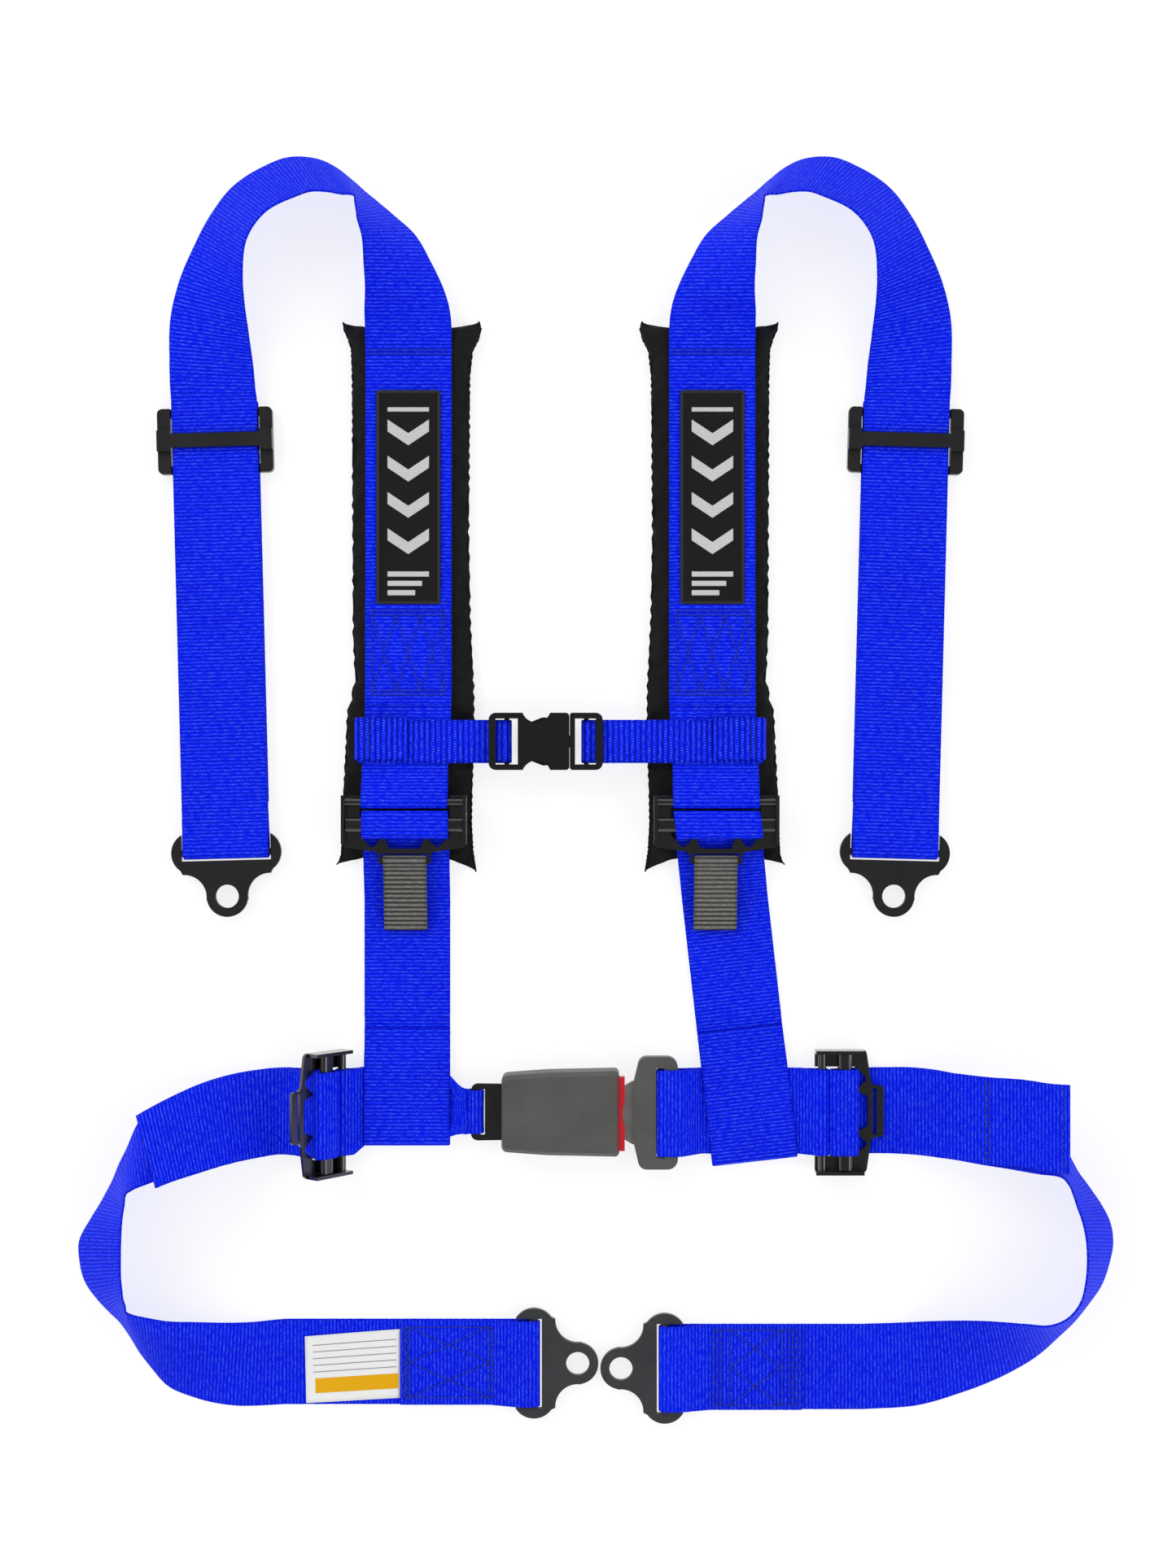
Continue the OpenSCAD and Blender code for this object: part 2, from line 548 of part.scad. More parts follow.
module lap_strap(side) {
    h = webbing_t / 2;
    r = bar_loop_r + h;
    left = side == "left";
    dir = left ? -1 : 1;
    plate_x = left ? left_plate_x : right_plate_x;
    y = lap_band_y - (left ? 0 : 3);
    st = left ? wide(smooth(LEFT_LAP), 0, lap_band_y, webbing_w)
        : wide(smooth(RIGHT_LAP), 0, lap_band_y, webbing_w);
    x0 = st[0][0];
    // The sewn end: up over the plate's bar, round it and back underneath
    turn = arc([plate_x, plate_z], r, 90, 90 - dir * -180);
    top = [[plate_x + dir * 78, lt + h], [plate_x + dir * 26, lt + h], [plate_x + dir * 9, plate_z + r]];
    back = [[plate_x + dir * 12, h], [x0, h]];
    path = concat(top, turn, back);
    belt_colour() {
        ribbon(st, webbing_t);
        translate([0, y, 0]) rotate([0, 0, -90]) webbing_yz(path, webbing_w, webbing_t);
    }
}
module lap_tail(side) {
    st = side == "left" ? LEFT_TAIL : RIGHT_TAIL;
    belt_colour() ribbon(wide(smooth(st), 0, lap_band_y, webbing_w), webbing_t);
}
module lap_bolt_plate(side) {
    left = side == "left";
    x = left ? left_plate_x : right_plate_x;
    y = lap_band_y - (left ? 0 : 3);
    translate([x, y, plate_z]) rotate([0, 0, left ? 90 : -90]) bolt_plate();
}
module care_label() {
    translate([-168.5, lap_band_y - 24, webbing_t + 0.15]) color("white") linear_extrude(0.4)
        polygon([[0, 0], [55, 3], [55, 41], [-1, 38]]);
}

// ---- Chest strap and buckle ----

chest_hump = chest_bar_r + run_gap + chest_t / 2;
module chest_strap(side) {
    h = chest_t / 2;
    left = side == "left";
    sx = left ? 1 : -1;
    edge = webbing_w / 2 + 1.2;
    wrap_x = left ? adj_x - edge : 2 * mid_x - adj_x + edge;
    bar_x = left ? socket_x0 + 10.3 : plug_x0 + 9.5;
    wrap_r = (chest_front_z - chest_back_z) / 2;
    wrap_z = chest_back_z + wrap_r + h;
    inner_x = wrap_x + sx * (2 * edge + 2);
    path = concat([[inner_x, chest_back_z + h]],
        arc([wrap_x, wrap_z], wrap_r, 270, 270 - sx * 180),
        [[bar_x - sx * 8, chest_front_z + h - 0.2]],
        arc([bar_x, chest_bar_z], chest_hump, 90, 90 - sx * 180),
        [[bar_x - sx * 18, chest_bar_z - chest_hump]]);
    flap_z = chest_front_z + chest_t + 0.15 + h;
    flap = concat(arc([wrap_x, wrap_z], wrap_r + chest_t + 0.15, 90 + sx * 70, 90),
        [[wrap_x + sx * 28, flap_z]]);
    translate([0, chest_y, 0]) rotate([0, 0, -90]) belt_colour() {
        webbing_yz(path, chest_w, chest_t);
        webbing_yz(flap, chest_w, chest_t);
    }
}
// Ring that holds the chest webbing: an outer bar, an opening and a middle bar
module ring_cut(x0, x1, bar_x) {
    hw = chest_w / 2 + 0.8;
    translate([x0, -hw, -20]) cube([x1 - x0, 2 * hw, 60]);
}
module ring_bar(bar_x) {
    translate([bar_x, 0, chest_bar_z]) rotate([90, 0, 0])
        cylinder(r = chest_bar_r, h = chest_w + 4, center = true, $fn = 32);
}
module chest_buckle_socket() {
    wall = 1.7;
    x0 = socket_x0;
    x1 = socket_x1;
    bar_x = x0 + 10.3;
    z1 = chest_z0 + chest_buckle_t;
    cav_hw = 14.5;
    translate([0, chest_y, 0]) color([0.08, 0.08, 0.08]) {
        difference() {
            translate([0, 0, chest_z0]) linear_extrude(chest_buckle_t) difference() {
                polygon(rounded([[x0, -chest_hw, 4], [x1, -chest_hw, 2], [x1, chest_hw, 2],
                    [x0, chest_hw, 4]]));
                for (m = [-1, 1]) translate([x1 - 19, m * (chest_hw + 3)]) circle(8.5, $fn = 48);
            }
            ring_cut(x0 + 4, bar_x + 6.5);
            translate([bar_x + 9, -cav_hw, chest_z0 + wall])
                cube([x1 - bar_x, 2 * cav_hw, chest_buckle_t - 2 * wall]);
            translate([x0 - 1, -chest_w / 2 - 0.8, chest_z0 - 1])
                cube([6, chest_w + 1.6, chest_front_z + chest_t + run_gap - chest_z0 + 1]);
        }
        ring_bar(bar_x);
    }
}
module chest_buckle_plug() {
    x0 = plug_x0;
    x1 = plug_x1;
    bar_x = x0 + 9.5;
    translate([0, chest_y, 0]) color([0.08, 0.08, 0.08]) {
        difference() {
            translate([0, 0, chest_z0]) linear_extrude(chest_buckle_t)
                polygon(rounded([[x0, -chest_hw, 1.5], [x1, -chest_hw, 4], [x1, chest_hw, 4],
                    [x0, chest_hw, 1.5]]));
            ring_cut(bar_x - 6.5, x1 - 4);
            translate([x1 - 5, -chest_w / 2 - 0.8, chest_z0 - 1])
                cube([6, chest_w + 1.6, chest_front_z + chest_t + run_gap - chest_z0 + 1]);
        }
        ring_bar(bar_x);
        translate([x0 - 21, -3.5, chest_z0 + 2.3]) cube([22, 7, chest_buckle_t - 4.6]);
    }
}
module chest_prong(m) {
    x0 = plug_x0 - 0.6;
    translate([0, chest_y, chest_z0 + 2.3]) color([0.08, 0.08, 0.08])
        linear_extrude(chest_buckle_t - 4.6) mirror([0, m, 0])
            polygon(rounded([[x0, 9, 0], [x0, 13, 0], [x0 - 9, 13.4, 4], [x0 - 15, 14, 4],
                [x0 - 22, 11.2, 1.2], [x0 - 21.2, 9.3, 0.8]]));
}
module chest_prong_upper() { chest_prong(0); }
module chest_prong_lower() { chest_prong(1); }

// ---- Lap buckle ----

// Housing outline, tapering towards the webbing end, drawn in by d
function housing(d) =
    let (w0 = buckle_w / 2 - 2.8 - d, w1 = buckle_w / 2 - d, x0 = buckle_x0 + d, xm = x0 + 26, x1 = buckle_x1)
    rounded([[x0, -w0, 3.5], [xm, -w0 - 1.9, 60], [x1, -w1, 2.5], [x1, w1, 2.5], [xm, w0 + 1.9, 60],
        [x0, w0, 3.5]]);
// Outside of a cover; the upper one's edges slope inwards near its top
module housing_block(h, up) {
    if (up) hull() {
        linear_extrude(h - 3) polygon(housing(0));
        translate([-1.5, 0, 0]) linear_extrude(h) polygon(housing(2.2));
    }
    else linear_extrude(h) polygon(housing(0));
}
module housing_half(z0, h, up) {
    wall = buckle_wall;
    translate([0, lap_y, 0]) color([0.16, 0.16, 0.16]) difference() {
        translate([0, 0, z0]) housing_block(h, up);
        difference() {
            translate([0, 0, up ? z0 - 1 : z0 + wall]) linear_extrude(h - wall + 1)
                polygon(housing(wall));
            translate([buckle_x1 - wall - 3, -40, up ? z0 + h : -1]) cube([9, 80, wall]);
        }
        // Mouth for the tongue and the button
        translate([buckle_x1 - 5, -buckle_w / 2 + 3, up ? z0 - 1 : blade_z - 1.2])
            cube([9, buckle_w - 6, up ? h - wall + 1 : 9]);
        // Way in for the frame's bracket
        translate([buckle_x0 - 2, -bracket_hw - 4.4, blade_z - 2.7]) cube([9, 2 * bracket_hw + 8.8, 2.8]);
    }
}
split_z = blade_z + 1;
module buckle_lower_cover() { housing_half(0.4, split_z - 0.4, false); }
module buckle_upper_cover() { housing_half(split_z, 0.4 + buckle_h - split_z, true); }
module buckle_frame() {
    z0 = blade_z - 0.3 - steel_t;
    x0 = bracket_x - 2.75;
    hw = bracket_hw + 4;
    translate([0, lap_y, 0]) color([0.5, 0.5, 0.52]) {
        difference() {
            translate([0, 0, z0]) linear_extrude(steel_t) difference() {
                polygon(rounded([[x0, -hw, 4], [8, -hw + 1.2, 1], [8, hw - 1.2, 1], [x0, hw, 4]]));
                translate([bracket_x + 2.75, -bracket_hw - 0.6])
                    square([2.6, 2 * bracket_hw + 1.2]);
            }
            for (m = [-1, 1]) translate([-30, m * 9, z0 - 1]) cylinder(r = 2, h = 9, $fn = 32);
        }
        for (m = [-1, 1]) translate([-40, m * 14.4 - 1, z0 + steel_t - EPS]) cube([42, 2, 6]);
    }
}
module buckle_rivets() {
    z0 = blade_z - 0.3 - steel_t;
    translate([0, lap_y, 0]) color([0.6, 0.6, 0.6]) for (m = [-1, 1]) translate([-30, m * 9, 0]) {
        translate([0, 0, buckle_wall + 0.4]) cylinder(r = 3.4, h = z0 - buckle_wall - 0.4, $fn = 32);
        translate([0, 0, z0 - EPS]) cylinder(r = 1.98, h = steel_t + 0.2, $fn = 32);
        translate([0, 0, z0 + steel_t]) cylinder(r = 3, h = 1.2, $fn = 32);
    }
}
module tongue_plate() {
    hw = tongue_w / 2;
    translate([0, lap_y, blade_z]) color([0.75, 0.75, 0.77]) linear_extrude(steel_t) difference() {
        polygon(rounded([[-14, -hw + 1, 4], [12, -hw, 3], [cover_x0, -hw - 6, 4], [cover_x0 + 8, -hw - 6, 1],
            [cover_x0 + 8, hw + 6, 1], [cover_x0, hw + 6, 4], [12, hw, 3], [-14, hw - 1, 4]]));
        polygon(rounded([[-7, -7, 1.5], [1, -7, 1.5], [1, 7, 1.5], [-7, 7, 1.5]]));
    }
}
module tongue_cover() {
    hw = webbing_w / 2 + 7.5;
    t = tip_t;
    translate([0, lap_y, tongue_z - t / 2]) color([0.1, 0.1, 0.1]) difference() {
        linear_extrude(t) difference() {
            polygon(rounded([[cover_x0, -hw + 17, 30], [cover_x0 + 4, -hw, 5], [cover_x1, -hw, 6],
                [cover_x1, hw, 6], [cover_x0 + 4, hw, 5], [cover_x0, hw - 17, 30]]));
            translate([cover_x1 - cover_bar - 4.8, -slot_hw]) square([4.8, 2 * slot_hw]);
        }
        translate([cover_x0 - 1, -tongue_w / 2 - 6.1, t / 2 - steel_t / 2 - 0.05])
            cube([9.1, tongue_w + 12.2, steel_t + 0.1]);
    }
}
module buckle_button() {
    z0 = blade_z + steel_t + 0.5;
    z1 = 0.4 + buckle_h - buckle_wall - 0.4;
    hw = buckle_w / 2 - 3.4;
    x1 = buckle_x1 + 3.2;
    translate([0, lap_y, 0]) color([0.75, 0.1, 0.12]) difference() {
        union() {
            translate([x1 - 5.2, -hw, z0]) cube([5.2, 2 * hw, z1 - z0]);
            for (m = [-1, 1]) translate([-9, m * 11 - 1.7, z0 + 1.4])
                cube([x1 + 4.5, 3.4, z1 - z0 - 1.4]);
        }
        translate([x1 + 22, 0, z0 - 1]) cylinder(r = 23.2, h = 20, $fn = 96);
    }
}
module buckle_latch() {
    z0 = blade_z + steel_t + 0.4;
    translate([0, lap_y, 0]) color([0.62, 0.62, 0.64]) difference() {
        union() {
            translate([-24, -8, z0 + 1]) cube([20, 16, 1.8]);
            translate([-6, -6, z0]) cube([2, 12, 1.2]);
            translate([-24, 0, z0 + 1.9]) rotate([90, 0, 0]) cylinder(r = 1.6, h = 18, center = true, $fn = 32);
        }
    }
}
module buckle_ejector() {
    translate([-26, lap_y - 7, blade_z]) color([0.3, 0.3, 0.3]) cube([11.5, 14, steel_t]);
}
module buckle_spring() {
    wire = 0.6;
    r = 1.9;
    translate([0, lap_y, blade_z - 0.2 + r]) color([0.7, 0.7, 0.7]) difference() {
        translate([-40, 0, 0]) rotate([0, 90, 0]) cylinder(r = r, h = 13.8, $fn = 32);
        translate([-41, 0, 0]) rotate([0, 90, 0]) cylinder(r = r - wire, h = 16, $fn = 32);
    }
}

for (side = SIDES) {
    pad_cover(side);
    pad_foam(side);
    pad_patch(side);
    shoulder_strap(side);
    shoulder_tail(side);
    adjuster_strap(side);
    top_slide(side);
    shoulder_bolt_plate(side);
    shoulder_adjuster(side);
    shoulder_adjuster_bar(side);
    shoulder_bight(side);
    pull_tab(side);
    chest_strap(side);
    lower_strap(side);
    lap_link(side);
    lap_adjuster(side);
    lap_adjuster_bar(side);
    lap_bight(side);
    lap_strap(side);
    lap_tail(side);
    lap_bolt_plate(side);
}
chest_buckle_socket();
chest_buckle_plug();
chest_prong_upper();
chest_prong_lower();
buckle_upper_cover();
buckle_lower_cover();
buckle_frame();
buckle_button();
buckle_latch();
buckle_ejector();
buckle_spring();
buckle_rivets();
tongue_plate();
tongue_cover();
care_label();
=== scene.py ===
import bpy, bmesh, math
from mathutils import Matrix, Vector, noise


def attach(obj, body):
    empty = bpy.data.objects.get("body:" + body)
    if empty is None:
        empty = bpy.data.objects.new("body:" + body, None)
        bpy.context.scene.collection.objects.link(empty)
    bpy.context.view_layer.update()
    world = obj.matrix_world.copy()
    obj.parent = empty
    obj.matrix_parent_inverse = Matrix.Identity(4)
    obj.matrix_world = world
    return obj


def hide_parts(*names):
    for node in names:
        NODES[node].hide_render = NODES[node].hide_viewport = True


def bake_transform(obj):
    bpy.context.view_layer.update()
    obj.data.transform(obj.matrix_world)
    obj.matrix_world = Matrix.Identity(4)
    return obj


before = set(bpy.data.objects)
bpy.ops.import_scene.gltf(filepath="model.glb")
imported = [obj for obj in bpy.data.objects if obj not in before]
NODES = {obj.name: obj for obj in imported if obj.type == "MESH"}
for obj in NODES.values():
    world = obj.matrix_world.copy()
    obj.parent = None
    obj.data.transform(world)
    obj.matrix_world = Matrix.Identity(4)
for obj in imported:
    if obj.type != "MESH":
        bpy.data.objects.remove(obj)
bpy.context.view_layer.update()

S = 0.001  # one millimetre in the scene's metres
V = Vector

# ------------------------------------------------------------------ sizes, in millimetres
W, T = 50.0, 1.25  # belt width and thickness
MID = -20.0  # X of the plane that the left and right shoulder belts mirror in
BELT = -108.0  # X of the left shoulder belt's middle on its pad
PAD_TOP = 272.0
SLIDE = V((-221.0, 203.0))  # middle of the left top slide
LEAN = math.radians(1.5)  # lean of the hanging belt
TAIL = 240.0  # top slide down to the shoulder bolt plate
ADJ = V((-110.0, -7.5, 16.7))  # fixed bar of the left shoulder adjuster
LAP_Y = -187.5
BAND_Y = -334.5
CHEST_Y = 27.6
# rows of a belt's lower edge: x, y, z, then its yaw and tilt in degrees
LOOP = [(-114, -44, 5.9, 0, 0), (-115, -24, 4.5, -5, 5), (-116, -4, 2, -12, 12),
        (-114, 16, .5, -23, 25), (-110, 32, .5, -34, 35), (-103, 52, .5, -41, 45),
        (-92, 67, .5, -44, 46), (-74, 78, .5, -49, 44),
        (-63, 82, .5, -57, 45), (-52, 82, .5, -61, 46), (-43, 80, .5, -63, 48), (-36, 77, .5, -66, 55),
        (-31, 73, 1, -72, 62), (-27, 68, 1.5, -90, 68), (-23, 63, 2, -112, 69), (-18, 56, 3, -136, 65),
        (-10, 45, 5, -157, 55), (-5, 30, 7, -167, 43), (-1, 14, 9, -173, 28), (0, 0, 10.1, -178, 10),
        (0, -18, 10.1, -180, 0)]
LEFT_LAP = [(-180, 0, 0, 90, 0), (-209, -1, 0, 86, 5), (-233, 3, 0, 85, 17), (-248, 8, 0, 84, 29),
            (-257, 15, 0, 84, 41), (-264, 21, 0, 84, 50), (-268, 27, 0, 76, 58), (-271, 33, 0, 60, 61),
            (-275, 38, 0, 45, 60), (-279, 44, 0, 32, 56), (-283, 52, 0, 22, 51), (-285, 64, 0, 15, 48),
            (-285, 74, 0, 13, 48), (-281, 86, 0, 12, 56), (-276, 98, 0, 10, 64), (-272, 108, 0, -5, 70),
            (-268, 115, 0, -42, 68), (-259, 126, 0, -64, 50), (-246, 133, 0, -68, 38),
            (-232, 138, 0, -73, 28), (-214, 143, 0, -79, 18), (-194, 146, 0, -86, 7),
            (-183, 147, .6, -90, 2), (-173, 147, 2.5, -90, 0), (-164, 147, 6, -90, 0),
            (-157, 147, 9.6, -90, 0)]
RIGHT_LAP = [(156, -3, 0, 90, 0), (186, -1, 0, 93, 4), (211, 5, 0, 98, 20), (235, 12, 0, 109, 37),
             (252, 18, 0, 120, 51), (263, 23, 0, 128, 62), (273, 30, 0, 136, 67), (281, 40, 0, 142, 67),
             (286, 50, 0, 149, 63), (289, 62, 0, 156, 60), (290, 75, 0, 159, 57), (288, 86, 0, 161, 57),
             (284, 95, 0, 163, 60), (279, 104, 0, 167, 66), (274, 112, 0, 178, 72), (269, 120, 0, 212, 73),
             (258, 129, 0, 240, 57), (243, 136, 0, 255, 42), (225, 141, 0, 262, 28), (205, 145, 0, 267, 14),
             (185, 147, 0, 270, 4), (166, 147, 0, 270, 0)]
LEFT_TAIL = [(-167, 147, 16.4, -90, 0), (-174.4, 147, 9.5, -90, 0), (-184, 147, 4.6, -90, 2),
             (-195, 146, 4, -86, 8), (-214, 143, 8, -79, 18), (-232, 138, 13.5, -73, 25),
             (-246, 133, 18, -68, 33), (-255, 129, 21, -64, 37)]
RIGHT_TAIL = [(160, 147, 1.7, 270, 0), (172, 147, 2.6, 270, 0), (186, 147, 7, 270, 0),
              (205, 146, 16, 270, 0), (225, 145, 27, 270, 0), (243, 145, 37, 270, 0),
              (258, 144, 47, 270, 0), (266, 144, 50.5, 270, 0)]


# ------------------------------------------------------------------ paths
def arc(c, r, a0, a1, n=14):
    return [(c[0] + r * math.cos(math.radians(a0 + (a1 - a0) * i / n)),
             c[1] + r * math.sin(math.radians(a0 + (a1 - a0) * i / n))) for i in range(n + 1)]


def stations(rows, x=0.0, y=0.0, n=7):
    """Centre, across vector and width along a smooth curve through the rows of lower-edge stations."""
    q = [(V((r[0] + x, r[1] + y, r[2])), math.radians(r[3]), math.radians(r[4])) for r in rows]

    def gap(i):
        return max(1e-6, (q[i + 1][0] - q[i][0]).length)

    def val(i):
        return [*q[i][0], q[i][1], q[i][2]]

    def slope(i, k):
        if i == 0:
            return (val(1)[k] - val(0)[k]) / gap(0)
        if i == len(q) - 1:
            return (val(i)[k] - val(i - 1)[k]) / gap(i - 1)
        a, b = gap(i - 1), gap(i)
        return ((val(i)[k] - val(i - 1)[k]) * b / a + (val(i + 1)[k] - val(i)[k]) * a / b) / (a + b)
    out = []
    for i in range(len(q) - 1):
        d = gap(i)
        for j in range(n if i < len(q) - 2 else n + 1):
            f = j / n
            f2, f3 = f * f, f * f * f
            out.append([val(i)[k] * (2 * f3 - 3 * f2 + 1) + slope(i, k) * d * (f3 - 2 * f2 + f)
                        + val(i + 1)[k] * (3 * f2 - 2 * f3) + slope(i + 1, k) * d * (f3 - f2)
                        for k in range(5)])
    res = []
    for x_, y_, z_, yaw, tilt in out:
        u = V((math.cos(yaw) * math.cos(tilt), math.sin(yaw) * math.cos(tilt), math.sin(tilt)))
        res.append((V((x_, y_, z_ + (W * math.sin(tilt) + 1.4 * math.cos(tilt)) / 2)), u, W))
    return res


def spread(points, step=1.6, soft=2):
    """The 2D path with even spacing and softened corners."""
    pts = [V(p) for p in points]
    s = [0.0]
    for a, b in zip(pts, pts[1:]):
        s.append(s[-1] + (b - a).length)
    n = max(3, int(s[-1] / step))
    out, j = [], 0
    for i in range(n + 1):
        d = s[-1] * i / n
        while j < len(pts) - 2 and s[j + 1] < d:
            j += 1
        f = (d - s[j]) / max(1e-9, s[j + 1] - s[j])
        out.append(pts[j].lerp(pts[j + 1], min(1, max(0, f))))
    for _ in range(soft):
        inner = [(out[i - 1] + out[i] * 2 + out[i + 1]) / 4 for i in range(1, len(out) - 1)]
        out = [out[0]] + inner + [out[-1]]
    return out


def plane(points, origin, along, up=(0, 0, 1), across=(1, 0, 0), w=W, step=1.6, soft=2):
    o, a, z, u = V(origin), V(along), V(up), V(across)
    return [(o + a * p[0] + z * p[1], u.copy(), w) for p in spread(points, step, soft)]


# ------------------------------------------------------------------ strap meshes
COLS = [-1, -.985, -.955, -.9, -.75, -.5, -.25, 0, .25, .5, .75, .9, .955, .985, 1]


def mesh_object(name, verts, faces, uvs=None, smooth=True):
    me = bpy.data.meshes.new(name)
    me.from_pydata([tuple(c * S for c in v) for v in verts], [], faces)
    if uvs is not None:
        layer = me.uv_layers.new(name="UVMap")
        data = [c for f in faces for i in f for c in uvs[i]]
        layer.data.foreach_set("uv", data)
    me.update()
    if smooth:
        me.shade_smooth()
    o = bpy.data.objects.new(name, me)
    bpy.context.scene.collection.objects.link(o)
    return o


def face_outward(o):
    bm = bmesh.new()
    bm.from_mesh(o.data)
    bmesh.ops.recalc_face_normals(bm, faces=bm.faces)
    bm.to_mesh(o.data)
    bm.free()


def flip(p):
    """The point mirrored from the left shoulder belt to the right one."""
    return V((2 * MID - p[0], p[1], p[2]))


class Strap:
    """A run of webbing: a list of (centre, across, width), its lengths and its normals."""

    def __init__(self, line, t=T, mirror=False):
        if mirror:
            line = [(flip(c), V((u[0], -u[1], -u[2])), w) for c, u, w in line]
        clean = [line[0]]
        for it in line[1:]:
            if (it[0] - clean[-1][0]).length > 0.25:
                clean.append(it)
        self.line, self.t = clean, t
        c = [l[0] for l in clean]
        m = len(c) - 1
        self.run = [(c[min(i + 1, m)] - c[max(i - 1, 0)]).normalized() for i in range(m + 1)]
        self.n = [l[1].cross(r).normalized() for l, r in zip(clean, self.run)]
        self.s = [0.0]
        for a, b in zip(c, c[1:]):
            self.s.append(self.s[-1] + (b - a).length)

    def at(self, s, a, h=0.0):
        """Point at length s, a across and h above the surface, with its run and normal."""
        i = 0
        while i < len(self.s) - 2 and self.s[i + 1] < s:
            i += 1
        f = (s - self.s[i]) / max(1e-9, self.s[i + 1] - self.s[i])
        c = self.line[i][0].lerp(self.line[i + 1][0], f)
        u = self.line[i][1].lerp(self.line[i + 1][1], f).normalized()
        n = self.n[i].lerp(self.n[i + 1], f).normalized()
        side = 1 if h >= 0 else -1
        run = self.run[i].lerp(self.run[i + 1], f).normalized()
        return c + u * a + n * (side * self.t / 2 + h), run, n * side, u

    def build(self, name, body, mat, slot="webbing", cup=0.0, nodes=(), blend=None, wave=0.06, seed=0):
        """The ribbon as a mesh with rounded selvages, riding on body, or left unparented in place when blend
        is given.
        """
        verts, uvs, rings = [], [], []
        for (c, u, w), n, s in zip(self.line, self.n, self.s):
            half = w / 2
            top, bottom = [], []
            for a in COLS:
                k = max(0.0, (abs(a) * half - (half - 0.7)) / 0.7)
                th = self.t / 2 * math.sqrt(max(0.0, 1 - k * k))
                off = cup * (a * a - 0.4)
                off += wave * noise.noise(V((s * .06 + seed, a * 1.7, seed * 3.1)))
                edge = 0.12 * noise.noise(V((s * .35, a, seed + 9))) if abs(a) > 0.9 else 0.0
                base = c + u * (a * half + edge)
                top.append((base + n * (off + th), (a * half, s)))
                bottom.append((base + n * (off - th), (a * half, s)))
            start = len(verts)
            for p, uv in top:
                verts.append(p)
                uvs.append(uv)
            for p, uv in reversed(bottom[1:-1]):
                verts.append(p)
                uvs.append(uv)
            rings.append(start)
        per = 2 * len(COLS) - 2
        faces = []
        for a, b in zip(rings, rings[1:]):
            for j in range(per):
                k = (j + 1) % per
                faces.append((a + j, b + j, b + k, a + k))
        m = len(COLS)
        for r, rev in ((rings[0], False), (rings[-1], True)):
            for j in range(m - 1):
                lo = lambda i: r + (i if i in (0, m - 1) else per - i)
                f = [r + j, r + j + 1, lo(j + 1), lo(j)]
                f = list(dict.fromkeys(f))
                if rev:
                    f.reverse()
                if len(f) > 2:
                    faces.append(tuple(f))
        o = mesh_object(name, verts, faces, uvs)
        face_outward(o)
        o.data.materials.append(mat)
        if blend:
            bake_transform(o)
        else:
            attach(o, body)
        if nodes:
            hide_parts(*nodes)
        return o


def stitch_mesh(name, items, mat, body=None, radius=0.44, blend=None):
    """items are (point, direction, normal, length): each becomes one rounded thread stitch."""
    verts, faces = [], []
    for p, d, n, ln in items:
        side = d.cross(n).normalized()
        up = side.cross(d).normalized()
        b = len(verts)
        prof = [(-.5, .25, -.25), (-.38, .8, .25), (0, 1, .55), (.38, .8, .25), (.5, .25, -.25)]
        for f, r, lift in prof:
            for k in range(6):
                a = k * math.pi / 3
                verts.append(p + d * (f * ln) + side * (math.cos(a) * r * radius)
                             + up * (math.sin(a) * r * radius + lift * radius * .6))
        for i in range(4):
            for k in range(6):
                j = (k + 1) % 6
                faces.append((b + i * 6 + k, b + i * 6 + j, b + i * 6 + 6 + j, b + i * 6 + 6 + k))
        faces.append(tuple(b + k for k in range(5, -1, -1)))
        faces.append(tuple(b + 24 + k for k in range(6)))
    o = mesh_object(name, verts, faces)
    o.data.materials.append(mat)
    if blend:
        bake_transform(o)
    else:
        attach(o, body)
    return o


def seam(strap, lines, pitch=3.0, h=0.08, gap=0.7, up=1):
    """Stitches along polylines of (length, across) on a strap."""
    items = []
    for line in lines:
        for (s0, a0), (s1, a1) in zip(line, line[1:]):
            ln = math.hypot(s1 - s0, a1 - a0)
            n = max(1, round(ln / pitch))
            for i in range(n):
                f = (i + .5) / n
                p, r, nn, u = strap.at(s0 + (s1 - s0) * f, a0 + (a1 - a0) * f, up * h)
                d = (r * (s1 - s0) + u * (a1 - a0)).normalized()
                items.append((p, d, nn, ln / n - gap))
    return items


def box_x(s0, s1, half, rows=3, m=2.5):
    """A sewn block: an outline, a second row inside each end, and a row of crosses between them."""
    s0, s1 = min(s0, s1) + m, max(s0, s1) - m
    a = half - m
    lines = [[(s0, -a), (s1, -a), (s1, a), (s0, a), (s0, -a)],
             [(s0 + 2.4, -a), (s0 + 2.4, a)], [(s1 - 2.4, -a), (s1 - 2.4, a)]]
    for k in range(rows):
        lo, hi = -a + 2 * a * k / rows, -a + 2 * a * (k + 1) / rows
        lines.append([(s0 + 2.4, lo), (s1 - 2.4, hi)])
        lines.append([(s0 + 2.4, hi), (s1 - 2.4, lo)])
    return lines


# ------------------------------------------------------------------ materials
def new_mat(name):
    m = bpy.data.materials.new(name)
    m.use_nodes = True
    nt = m.node_tree
    return m, nt, nt.nodes["Principled BSDF"]


def nd(nt, kind, **k):
    n = nt.nodes.new(kind)
    for a, b in k.items():
        setattr(n, a, b)
    return n


def math_node(nt, op, a, b=None, clamp=False):
    n = nd(nt, "ShaderNodeMath", operation=op, use_clamp=clamp)
    for i, v in enumerate((a, b)):
        if v is None:
            continue
        if isinstance(v, (int, float)):
            n.inputs[i].default_value = v
        else:
            nt.links.new(v, n.inputs[i])
    return n.outputs[0]


